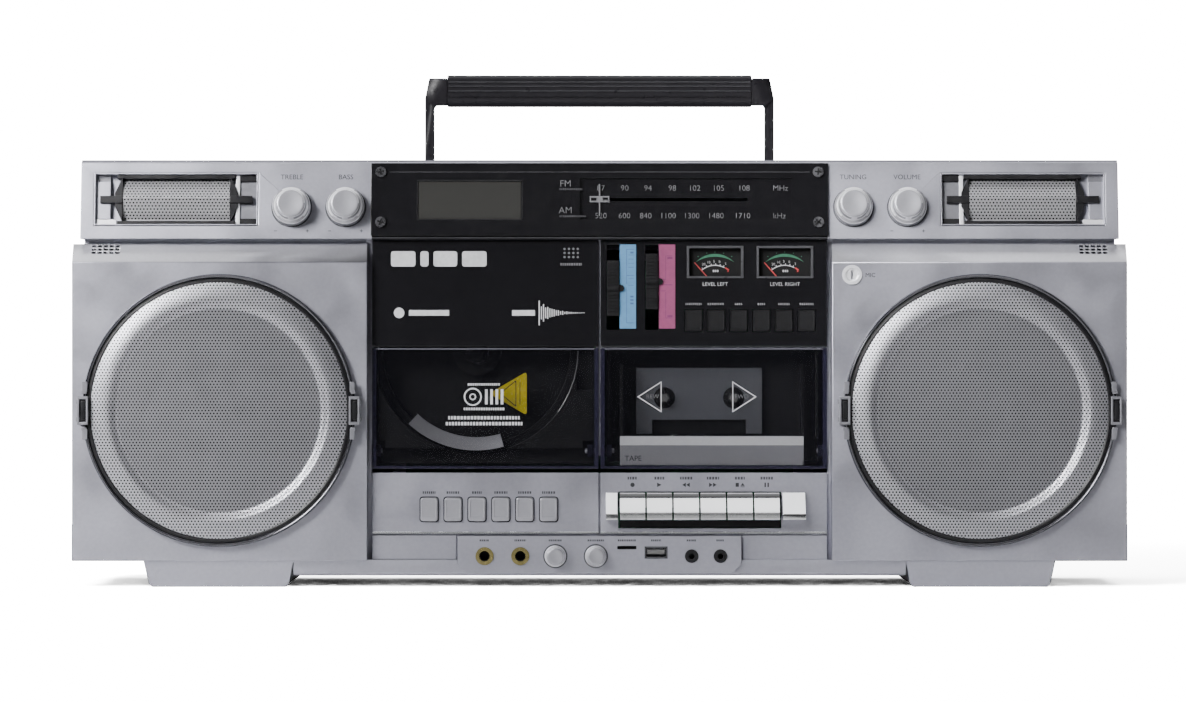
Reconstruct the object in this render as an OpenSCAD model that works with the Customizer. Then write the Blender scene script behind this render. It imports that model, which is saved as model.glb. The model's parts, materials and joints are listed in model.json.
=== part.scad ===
// Portable radio, disc and cassette player with two speakers and a folding handle.
// Millimetres. +Z up, the front faces -Y, and the feet stand on z = 0.
// The origin is under the middle of the whole outline.

/* [Cabinet] */
// Width of the lower cabinet
body_w = 644; // [636:1:670]
// Depth from the speaker fronts to the back
body_d = 135; // [132:1:150]
// Wall thickness of the mouldings
wall = 3; // [2.6:0.1:3.2]
// Height of the feet
foot_h = 16; // [15:0.5:17]
// Height of the lower cabinet's top edge
lower_top = 209.5; // [208:0.5:210]
// Height of the upper fascia's bottom edge
upper_base = 212.9; // [212.5:0.1:214]
// Height of the top
upper_top = 261; // [260:0.5:264]
// Backward tilt of the upper fascia, degrees
fascia_tilt = 11; // [9:0.5:12]
// Half width of the centre section
centre_half = 142; // [141.6:0.1:143]
// How far the centre panels stand behind the speaker fronts
centre_set = 6; // [5:0.5:7]

/* [Speakers] */
// Outer radius of the trim ring
ring_r = 83.4; // [80:0.1:85]
// Radial width of the trim ring
ring_w = 4.9; // [4:0.1:6]
// Radius of the grille's flat middle
mesh_flat_r = 63; // [58:1:66]
// Height of the speaker centres
speaker_z = 107.7; // [106:0.1:110]

/* [Controls] */
// Radius of the large knobs
knob_r = 11.6; // [11:0.1:12]
// Length of the large knobs
knob_len = 13; // [11:0.5:13]
// Radius of the small knobs
small_knob_r = 6.5; // [6:0.1:7]
// Spacing of the cassette keys
key_pitch = 16.4; // [16.2:0.1:16.5]
// Spacing of the disc buttons
cd_pitch = 14.6; // [14:0.1:15]
// Spacing of the mode buttons
mode_pitch = 13.8; // [13.4:0.1:14]
// Width of the mode buttons
mode_w = 10.6; // [10:0.1:11]

/* [Doors and decks] */
// Height of both door hinges
hinge_z = 83; // [82.5:0.5:84]
// Bottom edge of both doors
door_base = 72; // [72:0.1:72.5]
// Top edge of the disc door
cd_door_top = 211.8; // [210:0.1:212]
// Top edge of the cassette door
tape_door_top = 145.8; // [144:0.1:146]
// Radius of the disc well
disc_well_r = 62.5; // [61:0.5:64]
// Distance between the reel spindles
reel_gap = 42.5; // [42:0.1:43]

/* [Handle and aerial] */
// Height of the top of the upright handle
handle_top = 315.4; // [308:0.1:318]
// Half width over the handle's arms
handle_half = 108.4; // [100:0.1:109]
// Radius of the aerial's outer tube
mast_r = 3; // [3:0.1:3.2]

/* [Hidden] */

round_fn = 64;       // true circles
gap = 0.3;           // clearance between pieces that move apart
pin_play = 0.05;     // radial clearance of a running pin
eps = 0.5;           // overlap used to fuse features
silver = [0.72, 0.73, 0.75];
black = [0.07, 0.07, 0.08];
chrome = [0.85, 0.86, 0.88];

knob_z = 231.8;
wing_set = 3;                                     // fascia foot behind the speaker fronts
knob_lip = 3.6;                                   // rounding of a knob's front edge
// how far the large knobs pass the speaker fronts
knob_reach = knob_len * cos(fascia_tilt) + (knob_r - knob_lip) * sin(fascia_tilt)
    - wing_set - (knob_z - upper_base) * tan(fascia_tilt);
front_y = -(body_d - knob_reach) / 2;             // speaker fronts
back_y = front_y + body_d;                        // back
centre_y = front_y + centre_set;                  // fronts of the centre panels
panel_t = 3;                                      // thickness of the centre panels
frame_y = centre_y + panel_t;                     // front of the wall behind them
split_y = -10;                                    // plane where the two shells meet
lower_half = body_w / 2;
upper_half = lower_half - 4.7;
band_half = lower_half - 6.6;
bevel_z = lower_top - 11.5;                       // start of the lower boxes' top bevel
bevel_d = 9;
speaker_x = (centre_half + lower_half) / 2;
speaker_hole_r = ring_r - ring_w - 8;
panel_half = centre_half - 3;                     // outer edge of the centre panels
mid_gap = 0.6;                                    // half the gap between the two doors
lip_half = 187;                                   // half width of the base lip
lip_base = 7;
lip_y = front_y + 4;                              // front of the base lip
foot_x = 232.6;                                   // middle of each foot
foot_w = 91.6;

// The fascia plane starts at the foot of the upper section and leans back.
wing_y0 = front_y + wing_set;
wing_top = upper_top - 1.7;
function wing_y(z) = wing_y0 + (z - upper_base) * tan(fascia_tilt);

dial_t = 3;                                       // dial panel thickness
dial_z = [214, 258.4];
dial_slit_z = 236.4;
pointer_travel = 88.5;
knob_x = [155.2, 188.2];
tweeter_x = 258.9;
tweeter_z = 236.9;
tweeter_size = [100.6, 33.3];

hinge_y = centre_y + 6.5;
door_t = 2.7;
pin_r = 1.5;
door_lug_r = 3.7;
pillar_half = 2.2;
cd_x = -75.5;
cd_z = 144;
cd_floor = centre_y + 21;
tape_x = 61.2;
reel_z = 115.3;
deck_y = centre_y + 17.5;                         // front of the deck's plate
reel_shaft_r = 3;
control_base = 147;
panel_top = 211.8;
lower_panel_z = [32.3, 69.6];

key_x0 = 12.2;
key_w = key_pitch - 0.5;
key_shaft_y = centre_y + 38;
key_shaft_z = 50;
key_z = [41.1, 57.5];
key_slot_z = [35.7, 58];
cd_button_x0 = -104.1;
cd_button_z = [40, 54.4];
cd_button_w = 10.6;
mode_x0 = 57.5;
mode_z = [155.9, 169.3];
slider_x = [8.25, 32];
slider_slot = [7.9, 157, 209];                    // width, bottom, top
slider_z = [182.4, 186.5];
slider_h = 34;
meter_x = [70.65, 113.35];
meter_z = [188.5, 208.3];
meter_w = 34.7;
needle_pivot_z = 184;                             // hidden below the meter's window
needle_len = 19;
needle_rest = -41.5;                              // degrees from upright at no signal
needle_y = centre_y + panel_t + 1;                // front of the needles, behind the panel

jack_y = front_y + 1.5;                           // front of the jack panel
jack_z = 18.8;
mic_jack_x = [-70.2, -48.4];
audio_jack_x = [56.2, 73.8];
small_knob_x = [-27, -2.3];
usb_x = 34.5;
card_x = 16.7;
mic_bore_r = 3.2;
audio_bore_r = 1.8;

handle_y = 3;                                     // handle pivot
handle_z = 253;
arm_t = 5.6;
tub_half = 113;                                   // half width of the handle recess
tub_floor = 244.5;
handle_pin_r = 3;
aerial_x = 130;
aerial_y = back_y - 6.75;
aerial_z = 254.5;
notch_floor = 247;
notch_y = back_y - 20;                            // leaves room for a finger beside the aerial
notch_x = tub_half + wall + 1;
mast_end = 310;                                   // free end of the aerial's outer tube
bay_x = [-125, 5];                                // battery bay
bay_z = [38, 108];
bay_y = 0;

// ---- helpers ----

// Box given as [low, high] along each axis
module block(x, y, z) {
    translate([x[0], y[0], z[0]]) cube([x[1] - x[0], y[1] - y[0], z[1] - z[0]]);
}

// Outline in Y and Z drawn out along X
module prism_x(x, pts) {
    translate([x[0], 0, 0]) rotate([90, 0, 90]) linear_extrude(x[1] - x[0]) polygon(pts);
}

// Outline in X and Z drawn out along Y
module prism_y(y, pts) {
    translate([0, y[1], 0]) rotate([90, 0, 0]) linear_extrude(y[1] - y[0]) polygon(pts);
}

// Cylinder from y[0] to y[1]
module rod_y(x, z, r, y) {
    translate([x, y[1], z]) rotate([90, 0, 0]) cylinder(r = r, h = y[1] - y[0], $fn = round_fn);
}

// Cylinder from x[0] to x[1]
module rod_x(y, z, r, x) {
    translate([x[0], y, z]) rotate([0, 90, 0]) cylinder(r = r, h = x[1] - x[0], $fn = round_fn);
}

// Profile [radius, height] turned about a line along -Y through (x, z), height 0 at y
module turned(x, y, z, pts) {
    translate([x, y, z]) rotate([90, 0, 0]) rotate_extrude($fn = round_fn) polygon(pts);
}

// Frame on the leaning fascia: X right, Z up the slope, -Y outward
module on_wing(x, z) {
    translate([x, wing_y(z), z]) rotate([-fascia_tilt, 0, 0]) children();
}

module both_sides() {
    children();
    mirror([1, 0, 0]) children();
}

// ---- cabinet ----

// Side outline of a speaker box, shrunk by s
function box_side(s) = [
    [front_y + s, foot_h + s],
    [front_y + s, bevel_z - s / 2],
    [front_y + bevel_d + s, lower_top - s],
    [split_y + (s > 0 ? eps : 0), lower_top - s],
    [split_y + (s > 0 ? eps : 0), foot_h + s]];

// Side outline of the upper section, shrunk by s
function upper_side(s) = [
    [wing_y(upper_base) + s, upper_base - (s > 0 ? 0 : eps)],
    [wing_y(wing_top) + s, wing_top - s],
    [wing_y(wing_top) + 3 + s, upper_top - s],
    [split_y + (s > 0 ? eps : 0), upper_top - s],
    [split_y + (s > 0 ? eps : 0), upper_base - (s > 0 ? 0 : eps)]];

module foot(y) {
    intersection() {
        prism_y(y, [
            [foot_x - foot_w / 2, foot_h + eps], [foot_x - foot_w / 2 + 3, 2],
            [foot_x - foot_w / 2 + 5, 0], [foot_x + foot_w / 2 - 5, 0],
            [foot_x + foot_w / 2 - 3, 2], [foot_x + foot_w / 2, foot_h + eps]]);
        prism_x([foot_x - foot_w, foot_x + foot_w], [
            [front_y + 2, foot_h + 1], [front_y + 5, 0], [back_y - 9, 0], [back_y - 6, foot_h + 1]]);
    }
}

module speaker_box() {
    difference() {
        union() {
            difference() {
                prism_x([centre_half, lower_half], box_side(0));
                prism_x([centre_half + wall, lower_half - wall], box_side(wall));
            }
            foot([front_y, split_y]);
        }
        rod_y(speaker_x, speaker_z, speaker_hole_r, [front_y - 1, front_y + wall + 1]);
        // five by three slots of the vent near the outer corner
        for (i = [0:4])
            for (j = [0:2])
                translate([lower_half - 28.6 + i * 3.6, 0, bevel_z + 5.5 + j * 2])
                    block([0, 2.4], [front_y + 1, front_y + bevel_d + 4], [0, 1]);
    }
}

module front_cabinet() {
    color(silver) difference() {
        union() {
            speaker_box();
            mirror([1, 0, 0]) speaker_box();
            // band between the lower boxes and the upper section
            block([-band_half, band_half], [front_y + 12, split_y],
                [lower_top - eps, upper_base + eps]);
            // wall behind the centre panels
            block([-centre_half - eps, centre_half + eps], [frame_y, frame_y + wall],
                [foot_h - eps, upper_base]);
            // base lip between the feet
            difference() {
                prism_x([-lip_half, lip_half], [
                    [lip_y, 8.5], [front_y + 5.5, lip_base], [split_y, lip_base],
                    [split_y, foot_h + eps], [lip_y, foot_h + eps]]);
                block([-lip_half + wall, lip_half - wall], [lip_y + wall, split_y + 1],
                    [lip_base + wall, foot_h + 1]);
            }
            // upper section
            difference() {
                prism_x([-upper_half, upper_half], upper_side(0));
                prism_x([-upper_half + wall, upper_half - wall], upper_side(wall));
            }
            // pillar and pins that carry the doors, clear of their lower edges' swing
            block([-pillar_half, pillar_half], [frame_y + 0.2, hinge_y + 8], [hinge_z, hinge_z + 8]);
            block([-pillar_half, pillar_half], [hinge_y - 1.5, hinge_y + 8],
                [hinge_z - 3, hinge_z + eps]);
            rod_x(hinge_y, hinge_z, pin_r, [-9, 9]);
            both_sides() rod_x(hinge_y, hinge_z, pin_r, [panel_half - 6, centre_half + 1]);
        }
        // openings behind the disc door and the cassette door
        difference() {
            union() {
                block([-panel_half + 1, panel_half - 1], [frame_y - 1, frame_y + wall + 1],
                    [69, panel_top - 2.8]);
                block([-panel_half - gap, panel_half + gap], [frame_y - 1, frame_y + wall + 1],
                    [69, hinge_z + 4]);
            }
            block([-pillar_half, pillar_half], [frame_y - 1, hinge_y + 9], [hinge_z, panel_top]);
            block([-pillar_half, pillar_half], [hinge_y - 1.5, hinge_y + 9],
                [hinge_z - 3, hinge_z + eps]);
            rod_x(hinge_y, hinge_z, pin_r, [-9, 9]);
            both_sides() rod_x(hinge_y, hinge_z, pin_r, [panel_half - 6, centre_half + 1]);
            block([0, panel_half], [frame_y - 1, frame_y + wall + 1], [145.5, 149.5]);
        }
        // openings behind the buttons, the keys and the jacks
        block([-112, -22], [frame_y - 1, frame_y + wall + 1], [38, 57]);
        block([3, 128], [frame_y - 1, frame_y + wall + 1], [34, 60]);
        block([-82, 82], [front_y + 3, frame_y + wall + 1], [11, 29]);
        // openings behind the dial and the tweeters, and the knob shafts
        on_wing(0, tweeter_z) block([-128, 128], [-1, wall + 2], [-15, 15]);
        both_sides() on_wing(tweeter_x, tweeter_z)
            block([-tweeter_size[0] / 2, tweeter_size[0] / 2], [-2, wall + 2],
                [-tweeter_size[1] / 2, tweeter_size[1] / 2]);
        both_sides() for (x = knob_x)
            on_wing(x, knob_z) rod_y(0, 0, 3 + pin_play, [-2, wall + 3]);
        for (x = [-133.7, 133.7], z = [222, 252.8])
            on_wing(x, z) rod_y(0, 0, 1.5, [-2, wall + 3]);
        // microphone hole
        rod_y(154, 190.5, 5, [front_y - 1, front_y + wall + 1]);
    }
}

module rear_cabinet() {
    color(silver) difference() {
        union() {
            difference() {
                union() {
                    block([-lower_half, lower_half], [split_y, back_y], [foot_h, lower_top]);
                    block([-band_half, band_half], [split_y, back_y - 4],
                        [lower_top - eps, upper_base + eps]);
                    block([-upper_half, upper_half], [split_y, back_y], [upper_base, upper_top]);
                }
                block([-lower_half + wall, lower_half - wall], [split_y - 1, back_y - wall],
                    [foot_h + wall, lower_top - wall]);
                block([-upper_half + wall, upper_half - wall], [split_y - 1, back_y - wall],
                    [upper_base, upper_top - wall]);
            }
            both_sides() foot([split_y, back_y]);
            block([-lip_half, lip_half], [split_y, back_y - 12], [lip_base, foot_h + eps]);
            // walls of the handle recess
            block([-tub_half - wall, tub_half + wall], [split_y + 1, back_y - 1],
                [tub_floor - wall, upper_top - 1]);
            // walls of the aerial's notch
            block([notch_x - wall, upper_half - 1], [notch_y - wall, back_y - 1],
                [notch_floor - wall, upper_top - 1]);
            // battery box
            block([bay_x[0] - wall, bay_x[1] + wall], [bay_y - wall, back_y - 1],
                [bay_z[0] - wall, bay_z[1] + wall]);
        }
        block([-tub_half, tub_half], [split_y + 4, back_y - wall], [tub_floor, upper_top + 1]);
        both_sides() rod_x(handle_y, handle_z, handle_pin_r + pin_play,
            [tub_half - 1, tub_half + wall + 1]);
        block([notch_x, upper_half + 1], [notch_y, back_y + 1], [notch_floor, upper_top + 1]);
        translate([aerial_x, aerial_y, notch_floor - wall - 1])
            cylinder(r = 2.5 + pin_play, h = wall + 2, $fn = round_fn);
        block(bay_x, [bay_y, back_y - wall], bay_z);
        // mouth of the battery bay and its hinge holes
        block([bay_x[0] - 1, bay_x[1] + 1], [back_y - wall - 1, back_y + 1],
            [bay_z[0] - 1, bay_z[1] + 1]);
        rod_x(back_y - 1.5, bay_z[0] + 1, 0.8 + pin_play, [bay_x[0] - 2.9, bay_x[1] + 2.9]);
        // power inlet and counterbored screw holes
        block([149.8, 176.2], [back_y - wall - 1, back_y + 1], [39.8, 58.2]);
        for (x = screw_x, z = screw_z) {
            rod_y(x, z, 1.6, [back_y - wall - 1, back_y + 1]);
            rod_y(x, z, 4, [back_y - 1.6, back_y + 1]);
        }
        // ventilation slots
        for (i = [0:7])
            block([60 + i * 8, 63 + i * 8], [back_y - wall - 1, back_y + 1], [120, 170]);
    }
}
screw_x = [-305, -170, 170, 305];
screw_z = [30, 195];

// ---- fascia panels ----

module dial_panel() {
    half_h = (dial_z[1] - dial_z[0]) / 2 / cos(fascia_tilt);
    mid_z = (dial_z[0] + dial_z[1]) / 2;
    color(black) difference() {
        on_wing(0, mid_z) block([-panel_half - 0.7, panel_half + 0.7], [-dial_t, 0], [-half_h, half_h]);
        // pocket that the pointer runs in, with a slit for its stem
        on_wing(0, dial_slit_z) {
            block([-12, 118], [-dial_t - 1, -1], [-13, 13]);
            block([-2, pointer_travel + 2], [-2, 1], [-1, 1]);
        }
        // display window
        on_wing(-79.3, 235.7) block([-32, 32], [-dial_t - 1, -2], [-12.2, 12.2]);
        for (x = [-133.7, 133.7], z = [222, 252.8])
            on_wing(x, z) rod_y(0, 0, 1.5, [-dial_t - 1, 1]);
    }
}

module control_panel() {
    color(black) difference() {
        block([mid_gap, panel_half], [centre_y, frame_y], [control_base, panel_top]);
        for (x = slider_x)
            block([x - slider_slot[0] / 2, x + slider_slot[0] / 2], [centre_y - 1, frame_y + 1],
                [slider_slot[1], slider_slot[2]]);
        for (x = meter_x)
            block([x - meter_w / 2, x + meter_w / 2], [centre_y - 1, frame_y + 1], meter_z);
        for (i = [0:5])
            translate([mode_x0 + i * mode_pitch, 0, 0])
                block([-mode_w / 2 - gap, mode_w / 2 + gap], [centre_y - 1, frame_y + 1],
                    [mode_z[0] - gap, mode_z[1] + gap]);
        // shallow beds for the two scale strips
        for (x = [17.3, 41.3])
            block([x - 5.1, x + 5.1], [centre_y - 1, centre_y + 0.4], [157.5, 209.3]);
    }
}

// Side outline of a cassette key's cap
key_cap = [
    [centre_y - 12, key_z[0]], [centre_y - 12.6, key_z[0] + 0.8],
    [centre_y - 12.6, key_z[0] + 3.6], [centre_y - 11.8, key_z[0] + 4.4],
    [centre_y - 1.5, key_z[1]], [centre_y - 1, key_z[1]], [centre_y - 1, key_z[0]]];

module lower_panels() {
    color(silver) {
        // left panel with the disc button holes
        difference() {
            block([-panel_half, -mid_gap], [centre_y, frame_y], lower_panel_z);
            for (i = [0:5])
                translate([cd_button_x0 + i * cd_pitch, 0, 0])
                    block([-cd_button_w / 2 - gap, cd_button_w / 2 + gap],
                        [centre_y - 1, frame_y + 1], [cd_button_z[0] - gap, cd_button_z[1] + gap]);
        }
        // right panel with the key slot, end blocks and the keys' shaft
        difference() {
            union() {
                block([mid_gap, panel_half], [centre_y, frame_y], lower_panel_z);
                prism_x([3.8, 11], key_cap_fixed);
                prism_x([key_x0 + 6 * key_pitch + 1, 125.7], key_cap_fixed);
            }
            block([key_x0 - 0.8, key_x0 + 6 * key_pitch + 0.5], [centre_y - 20, frame_y + 1],
                key_slot_z);
        }
        for (x = [key_x0 - 3.4, key_x0 + 6 * key_pitch + 1])
            block([x, x + 2.4], [frame_y, key_shaft_y + 4], [key_shaft_z - 4, key_shaft_z + 4]);
        rod_x(key_shaft_y, key_shaft_z, pin_r, [key_x0 - 2, key_x0 + 6 * key_pitch + 2]);
    }
}
key_cap_fixed = concat([for (p = key_cap) if (p[0] < centre_y - 1.2) p],
    [[centre_y + eps, key_z[1]], [centre_y + eps, key_z[0]]]);

// Trapezoid outline of the jack panel, shrunk by s
function jack_outline(s) = [
    [-86.6 + s, 31.1 - s], [86.6 - s, 31.1 - s], [86.6 - s, 14 + s],
    [81.5 - s, 8.7 + s], [-81.5 + s, 8.7 + s], [-86.6 + s, 14 + s]];

module jack_panel() {
    color(silver) difference() {
        prism_y([jack_y, frame_y], jack_outline(0));
        prism_y([jack_y + 2.5, frame_y + 1], jack_outline(2));
        block([-90, 90], [lip_y, frame_y + 1], [lip_base, foot_h + eps]);
        for (x = mic_jack_x)
            rod_y(x, jack_z, 4.2 + pin_play, [jack_y - 1, front_y + 5]);
        for (x = audio_jack_x)
            rod_y(x, jack_z, 3.2 + pin_play, [jack_y - 1, front_y + 5]);
        for (x = small_knob_x)
            rod_y(x, jack_z, 2.5 + pin_play, [jack_y - 1, front_y + 5]);
        block([usb_x - 6.6, usb_x + 6.6], [jack_y - 1, front_y + 5], [jack_z - 0.8, jack_z + 5.2]);
        block([card_x - 5.8, card_x + 5.8], [jack_y - 1, front_y + 5], [jack_z + 4.2, jack_z + 6.2]);
    }
    // lower fields on each side of the jack panel
    color(silver) both_sides()
        block([87.6, panel_half], [centre_y, frame_y], [foot_h + 0.5, 31.3]);
}

module sockets() {
    for (x = mic_jack_x)
        color("goldenrod") difference() {
            union() {
                rod_y(x, jack_z, 5.5, [jack_y - 1, jack_y]);
                rod_y(x, jack_z, 4.2, [jack_y - eps, jack_y + 24]);
            }
            rod_y(x, jack_z, mic_bore_r, [jack_y - 2, jack_y + 22]);
        }
    for (x = audio_jack_x)
        color(black) difference() {
            union() {
                rod_y(x, jack_z, 4, [jack_y - 0.8, jack_y]);
                rod_y(x, jack_z, 3.2, [jack_y - eps, jack_y + 15]);
            }
            rod_y(x, jack_z, audio_bore_r, [jack_y - 2, jack_y + 13.5]);
        }
    // serial bus socket with its tongue
    color(chrome) translate([usb_x, 0, jack_z + 2.2]) {
        difference() {
            block([-6.6, 6.6], [jack_y - 0.3, jack_y + 14], [-3, 3]);
            block([-6.2, 6.2], [jack_y - 1, jack_y + 12.5], [-2.6, 2.6]);
        }
        block([-5.5, 5.5], [jack_y + 1, jack_y + 13], [0.2, 2]);
    }
    // card slot
    color(black) translate([card_x, 0, jack_z + 5.2]) difference() {
        block([-5.8, 5.8], [jack_y, jack_y + 14], [-1, 1]);
        block([-5.5, 5.5], [jack_y - 1, jack_y + 12], [-0.5, 0.5]);
    }
}

// ---- speakers ----

module speaker_ring() {
    inner = ring_r - ring_w;
    turned(speaker_x, front_y, speaker_z, [
        [inner, 0], [ring_r, 0], [ring_r, 3], [ring_r - 1.2, 4.6],
        [ring_r - 2.4, 5], [inner + 1, 4.2], [inner, 2.5]]);
}

// Clip frame across the ring at three or nine o'clock
module ring_clip(side) {
    x = speaker_x + side * (ring_r - 0.5);
    difference() {
        block([x - 3.4, x + 3.4], [front_y - 7, front_y], [speaker_z - 8.7, speaker_z + 8.7]);
        block([x - 1.8, x + 1.8], [front_y - 8, front_y - 4.5], [speaker_z - 6.2, speaker_z + 6.2]);
    }
}

module speaker_rings() {
    color([0.25, 0.25, 0.27]) both_sides() union() {
        speaker_ring();
        ring_clip(-1);
        ring_clip(1);
    }
}

// Height of the grille's raised rim at u = 0 (its flat middle) to 1 (the trim ring)
function rim_rise(u) = 2.3 * sin(180 * pow(u, 0.6));

// Dished perforated sheet: a broad rim that rises steeply round a flat middle
module speaker_grilles() {
    rim = ring_r - ring_w;
    t = 1;
    color([0.62, 0.62, 0.62]) both_sides() difference() {
        turned(speaker_x, front_y, speaker_z, concat(
            [[0, 3], [mesh_flat_r, 3]],
            [for (i = [1:7]) [mesh_flat_r + (rim - mesh_flat_r) * i / 8, 3 + rim_rise(i / 8)]],
            [[rim, 2.4], [rim, 0], [rim - 1.5, 0]],
            [for (i = [7:-1:1]) [mesh_flat_r + (rim - 1.5 - mesh_flat_r) * i / 8,
                3 - t + rim_rise(i / 8)]],
            [[mesh_flat_r, 3 - t], [0, 3 - t]]));
        for (side = [-1, 1])
            translate([side * (ring_r - 0.5), 0, 0])
                block([speaker_x - 3.5, speaker_x + 3.5], [front_y - 8, front_y + 1],
                    [speaker_z - 8.8, speaker_z + 8.8]);
    }
}

module speaker_drivers() {
    color([0.2, 0.2, 0.2]) both_sides() {
        turned(speaker_x, front_y + wall, speaker_z, [
            [0, -50], [0, -58], [36, -58], [36, -42], [26, -40], [62, -12], [78, -3],
            [78, 0], [69, 0], [64, -1], [60, -4], [24, -26], [0, -22]]);
        on_wing(tweeter_x, tweeter_z)
            translate([0, 16, 0]) rotate([90, 0, 0]) rotate_extrude($fn = round_fn)
                polygon([[0, 0], [0, -14], [12, -14], [12, -4], [15, -3], [15, 0], [11, 0], [8, -2]]);
    }
}

// Leaning tub round the tweeter's mesh: thin lip, end plates, axle bars, bars above and below
module tweeter_frames() {
    w = tweeter_size[0] / 2 - 0.1;
    h = tweeter_size[1] / 2 - 0.1;
    mesh = 33;
    lip = 0.9;
    color(silver) both_sides() on_wing(tweeter_x, tweeter_z) difference() {
        union() {
            difference() {
                block([-w, w], [0, 14], [-h, h]);
                block([-w + lip, w - lip], [-1, 11], [-h + lip, h - lip]);
            }
            for (s = [-1, 1]) {
                block([min(s * mesh, s * (w - 0.5)), max(s * mesh, s * (w - 0.5))], [7, 12],
                    [-h + 0.5, h - 0.5]);
                block([min(s * 40.6, s * (w - 0.5)), max(s * 40.6, s * (w - 0.5))],
                    [s > 0 ? 3 : 4.5, 8], [-11.6, 11.6]);
                block([min(s * (mesh + 0.1), s * 46.4), max(s * (mesh + 0.1), s * 46.4)],
                    [1, 8], [-2.15, 2.15]);
                block([-36, 36], [1.5, 12], [s > 0 ? 13.4 : -h + 0.5, s > 0 ? h - 0.5 : -13.4]);
            }
        }
        rod_y(0, 0, 15.2, [10, 20]);
    }
}

module tweeter_grilles() {
    h = 12.9;
    t = 1;
    color([0.7, 0.7, 0.7]) both_sides() on_wing(tweeter_x, tweeter_z)
        prism_x([-32.7, 32.7], [
            [6, -h], [0.5, 1.2], [6, h], [6 + t, h], [0.5 + t, 1.2], [6 + t, -h]]);
}

// ---- decks ----

module cd_well() {
    color(black) difference() {
        union() {
            block([-panel_half + 3, -3.4], [frame_y + 0.3, centre_y + 26], [84.5, panel_top - 3.5]);
            block([-panel_half + 3, -3.4], [centre_y + 12, centre_y + 26], [75, 84.6]);
        }
        rod_y(cd_x, cd_z, disc_well_r, [centre_y - 1, centre_y + 14]);
        rod_y(cd_x, cd_z, disc_well_r - 5, [centre_y - 1, cd_floor]);
        rod_y(cd_x, cd_z, 3 + pin_play, [cd_floor - 1, centre_y + 27]);
        // clearance for the hinge lugs and their pins
        for (x = [[-panel_half, -panel_half + 8], [-10, 0]])
            block(x, [centre_y, centre_y + 12], [78, 89]);
        // slot of the optical pickup, and the shallow cut beside it
        block([cd_x - 6, cd_x + 6], [cd_floor - 1, cd_floor + 3], [cd_z + 20, cd_z + 52]);
        block([-14, -2], [centre_y, centre_y + 8], [120, 170]);
    }
    // optical pickup
    color([0.3, 0.3, 0.32]) block([cd_x - 5, cd_x + 5], [cd_floor, cd_floor + 3],
        [cd_z + 24, cd_z + 36]);
}

module tape_deck() {
    color([0.1, 0.1, 0.11]) difference() {
        union() {
            difference() {
                block([4.5, 134], [centre_y + 7, centre_y + 24.5], [91, 144.8]);
                block([6.5, 132], [centre_y, centre_y + 22], [90, 143]);
            }
            block([4.5, 134], [centre_y + 22, centre_y + 24.5], [76, 92]);
            block([tape_x - 38.8, tape_x + 38.8], [deck_y, centre_y + 23], [93, 133.8]);
        }
        for (s = [-1, 1])
            rod_y(tape_x + s * reel_gap / 2, reel_z, reel_shaft_r + pin_play,
                [deck_y - 1, centre_y + 30]);
        // cut-out that the head block fills
        block([tape_x - 28.7, tape_x + 28.7], [deck_y - 1, centre_y + 21], [92, 101.6]);
    }
    // record and playback head with the pinch roller
    color(chrome) {
        block([tape_x - 21, tape_x + 21], [centre_y + 12, centre_y + 22.5], [86, 91.5]);
        block([tape_x - 7.5, tape_x + 7.5], [centre_y + 8.5, centre_y + 13], [86, 92.4]);
        rod_y(tape_x - 14.7, 89, 4, [centre_y + 9, centre_y + 12.2]);
    }
}

// ---- insides ----

module circuit_boards() {
    color([0.1, 0.4, 0.2]) {
        block([-120, 120], [-9.5, -7.9], [24, 200]);
        block([-60, 20], [-7.9, -5], [140, 180]);
        on_wing(-79.3, 235.7) block([-40, 40], [3.2, 7], [-14, 14]);
    }
    // transformer on the power board
    color([0.35, 0.33, 0.3]) {
        block([60, 125], [10, 60], [foot_h + wall, 66]);
        block([50, 135], [20, 48], [foot_h + wall, 26]);
    }
}

module level_meters() {
    color([0.45, 0.45, 0.46]) for (x = meter_x)
        difference() {
            union() {
                block([x - meter_w / 2, x + meter_w / 2], [centre_y - 0.6, centre_y + 12], meter_z);
                block([x - meter_w / 2, x + meter_w / 2], [frame_y, centre_y + 12],
                    [needle_pivot_z - 3.5, meter_z[1]]);
            }
            block([x - meter_w / 2 + 1.5, x + meter_w / 2 - 1.5], [centre_y - 2, needle_y + 1.5],
                [meter_z[0] + 1.2, meter_z[1] - 1.4]);
            // room behind the panel for the needle's foot
            block([x - meter_w / 2 + 1.5, x + meter_w / 2 - 1.5], [frame_y + 0.5, needle_y + 1.5],
                [needle_pivot_z - 2.3, meter_z[0] + 2]);
            rod_y(x, needle_pivot_z, 0.8 + pin_play, [needle_y, needle_y + 5]);
        }
}

module screws() {
    color(chrome) {
        for (x = [-133.7, 133.7], z = [222, 252.8])
            on_wing(x, z) difference() {
                union() {
                    rod_y(0, 0, 3.25, [-dial_t - 1.4, -dial_t]);
                    rod_y(0, 0, 1.45, [-dial_t - eps, wall + 3]);
                }
                block([-2, 2], [-dial_t - 2, -dial_t - 0.6], [-0.4, 0.4]);
                block([-0.4, 0.4], [-dial_t - 2, -dial_t - 0.6], [-2, 2]);
            }
        for (x = screw_x, z = screw_z)
            difference() {
                union() {
                    rod_y(x, z, 3.5, [back_y - 1.6, back_y - 0.1]);
                    rod_y(x, z, 1.5, [back_y - 14, back_y - 1]);
                }
                block([x - 2, x + 2], [back_y - 0.9, back_y], [z - 0.4, z + 0.4]);
                block([x - 0.4, x + 0.4], [back_y - 0.9, back_y], [z - 2, z + 2]);
            }
    }
}

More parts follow.
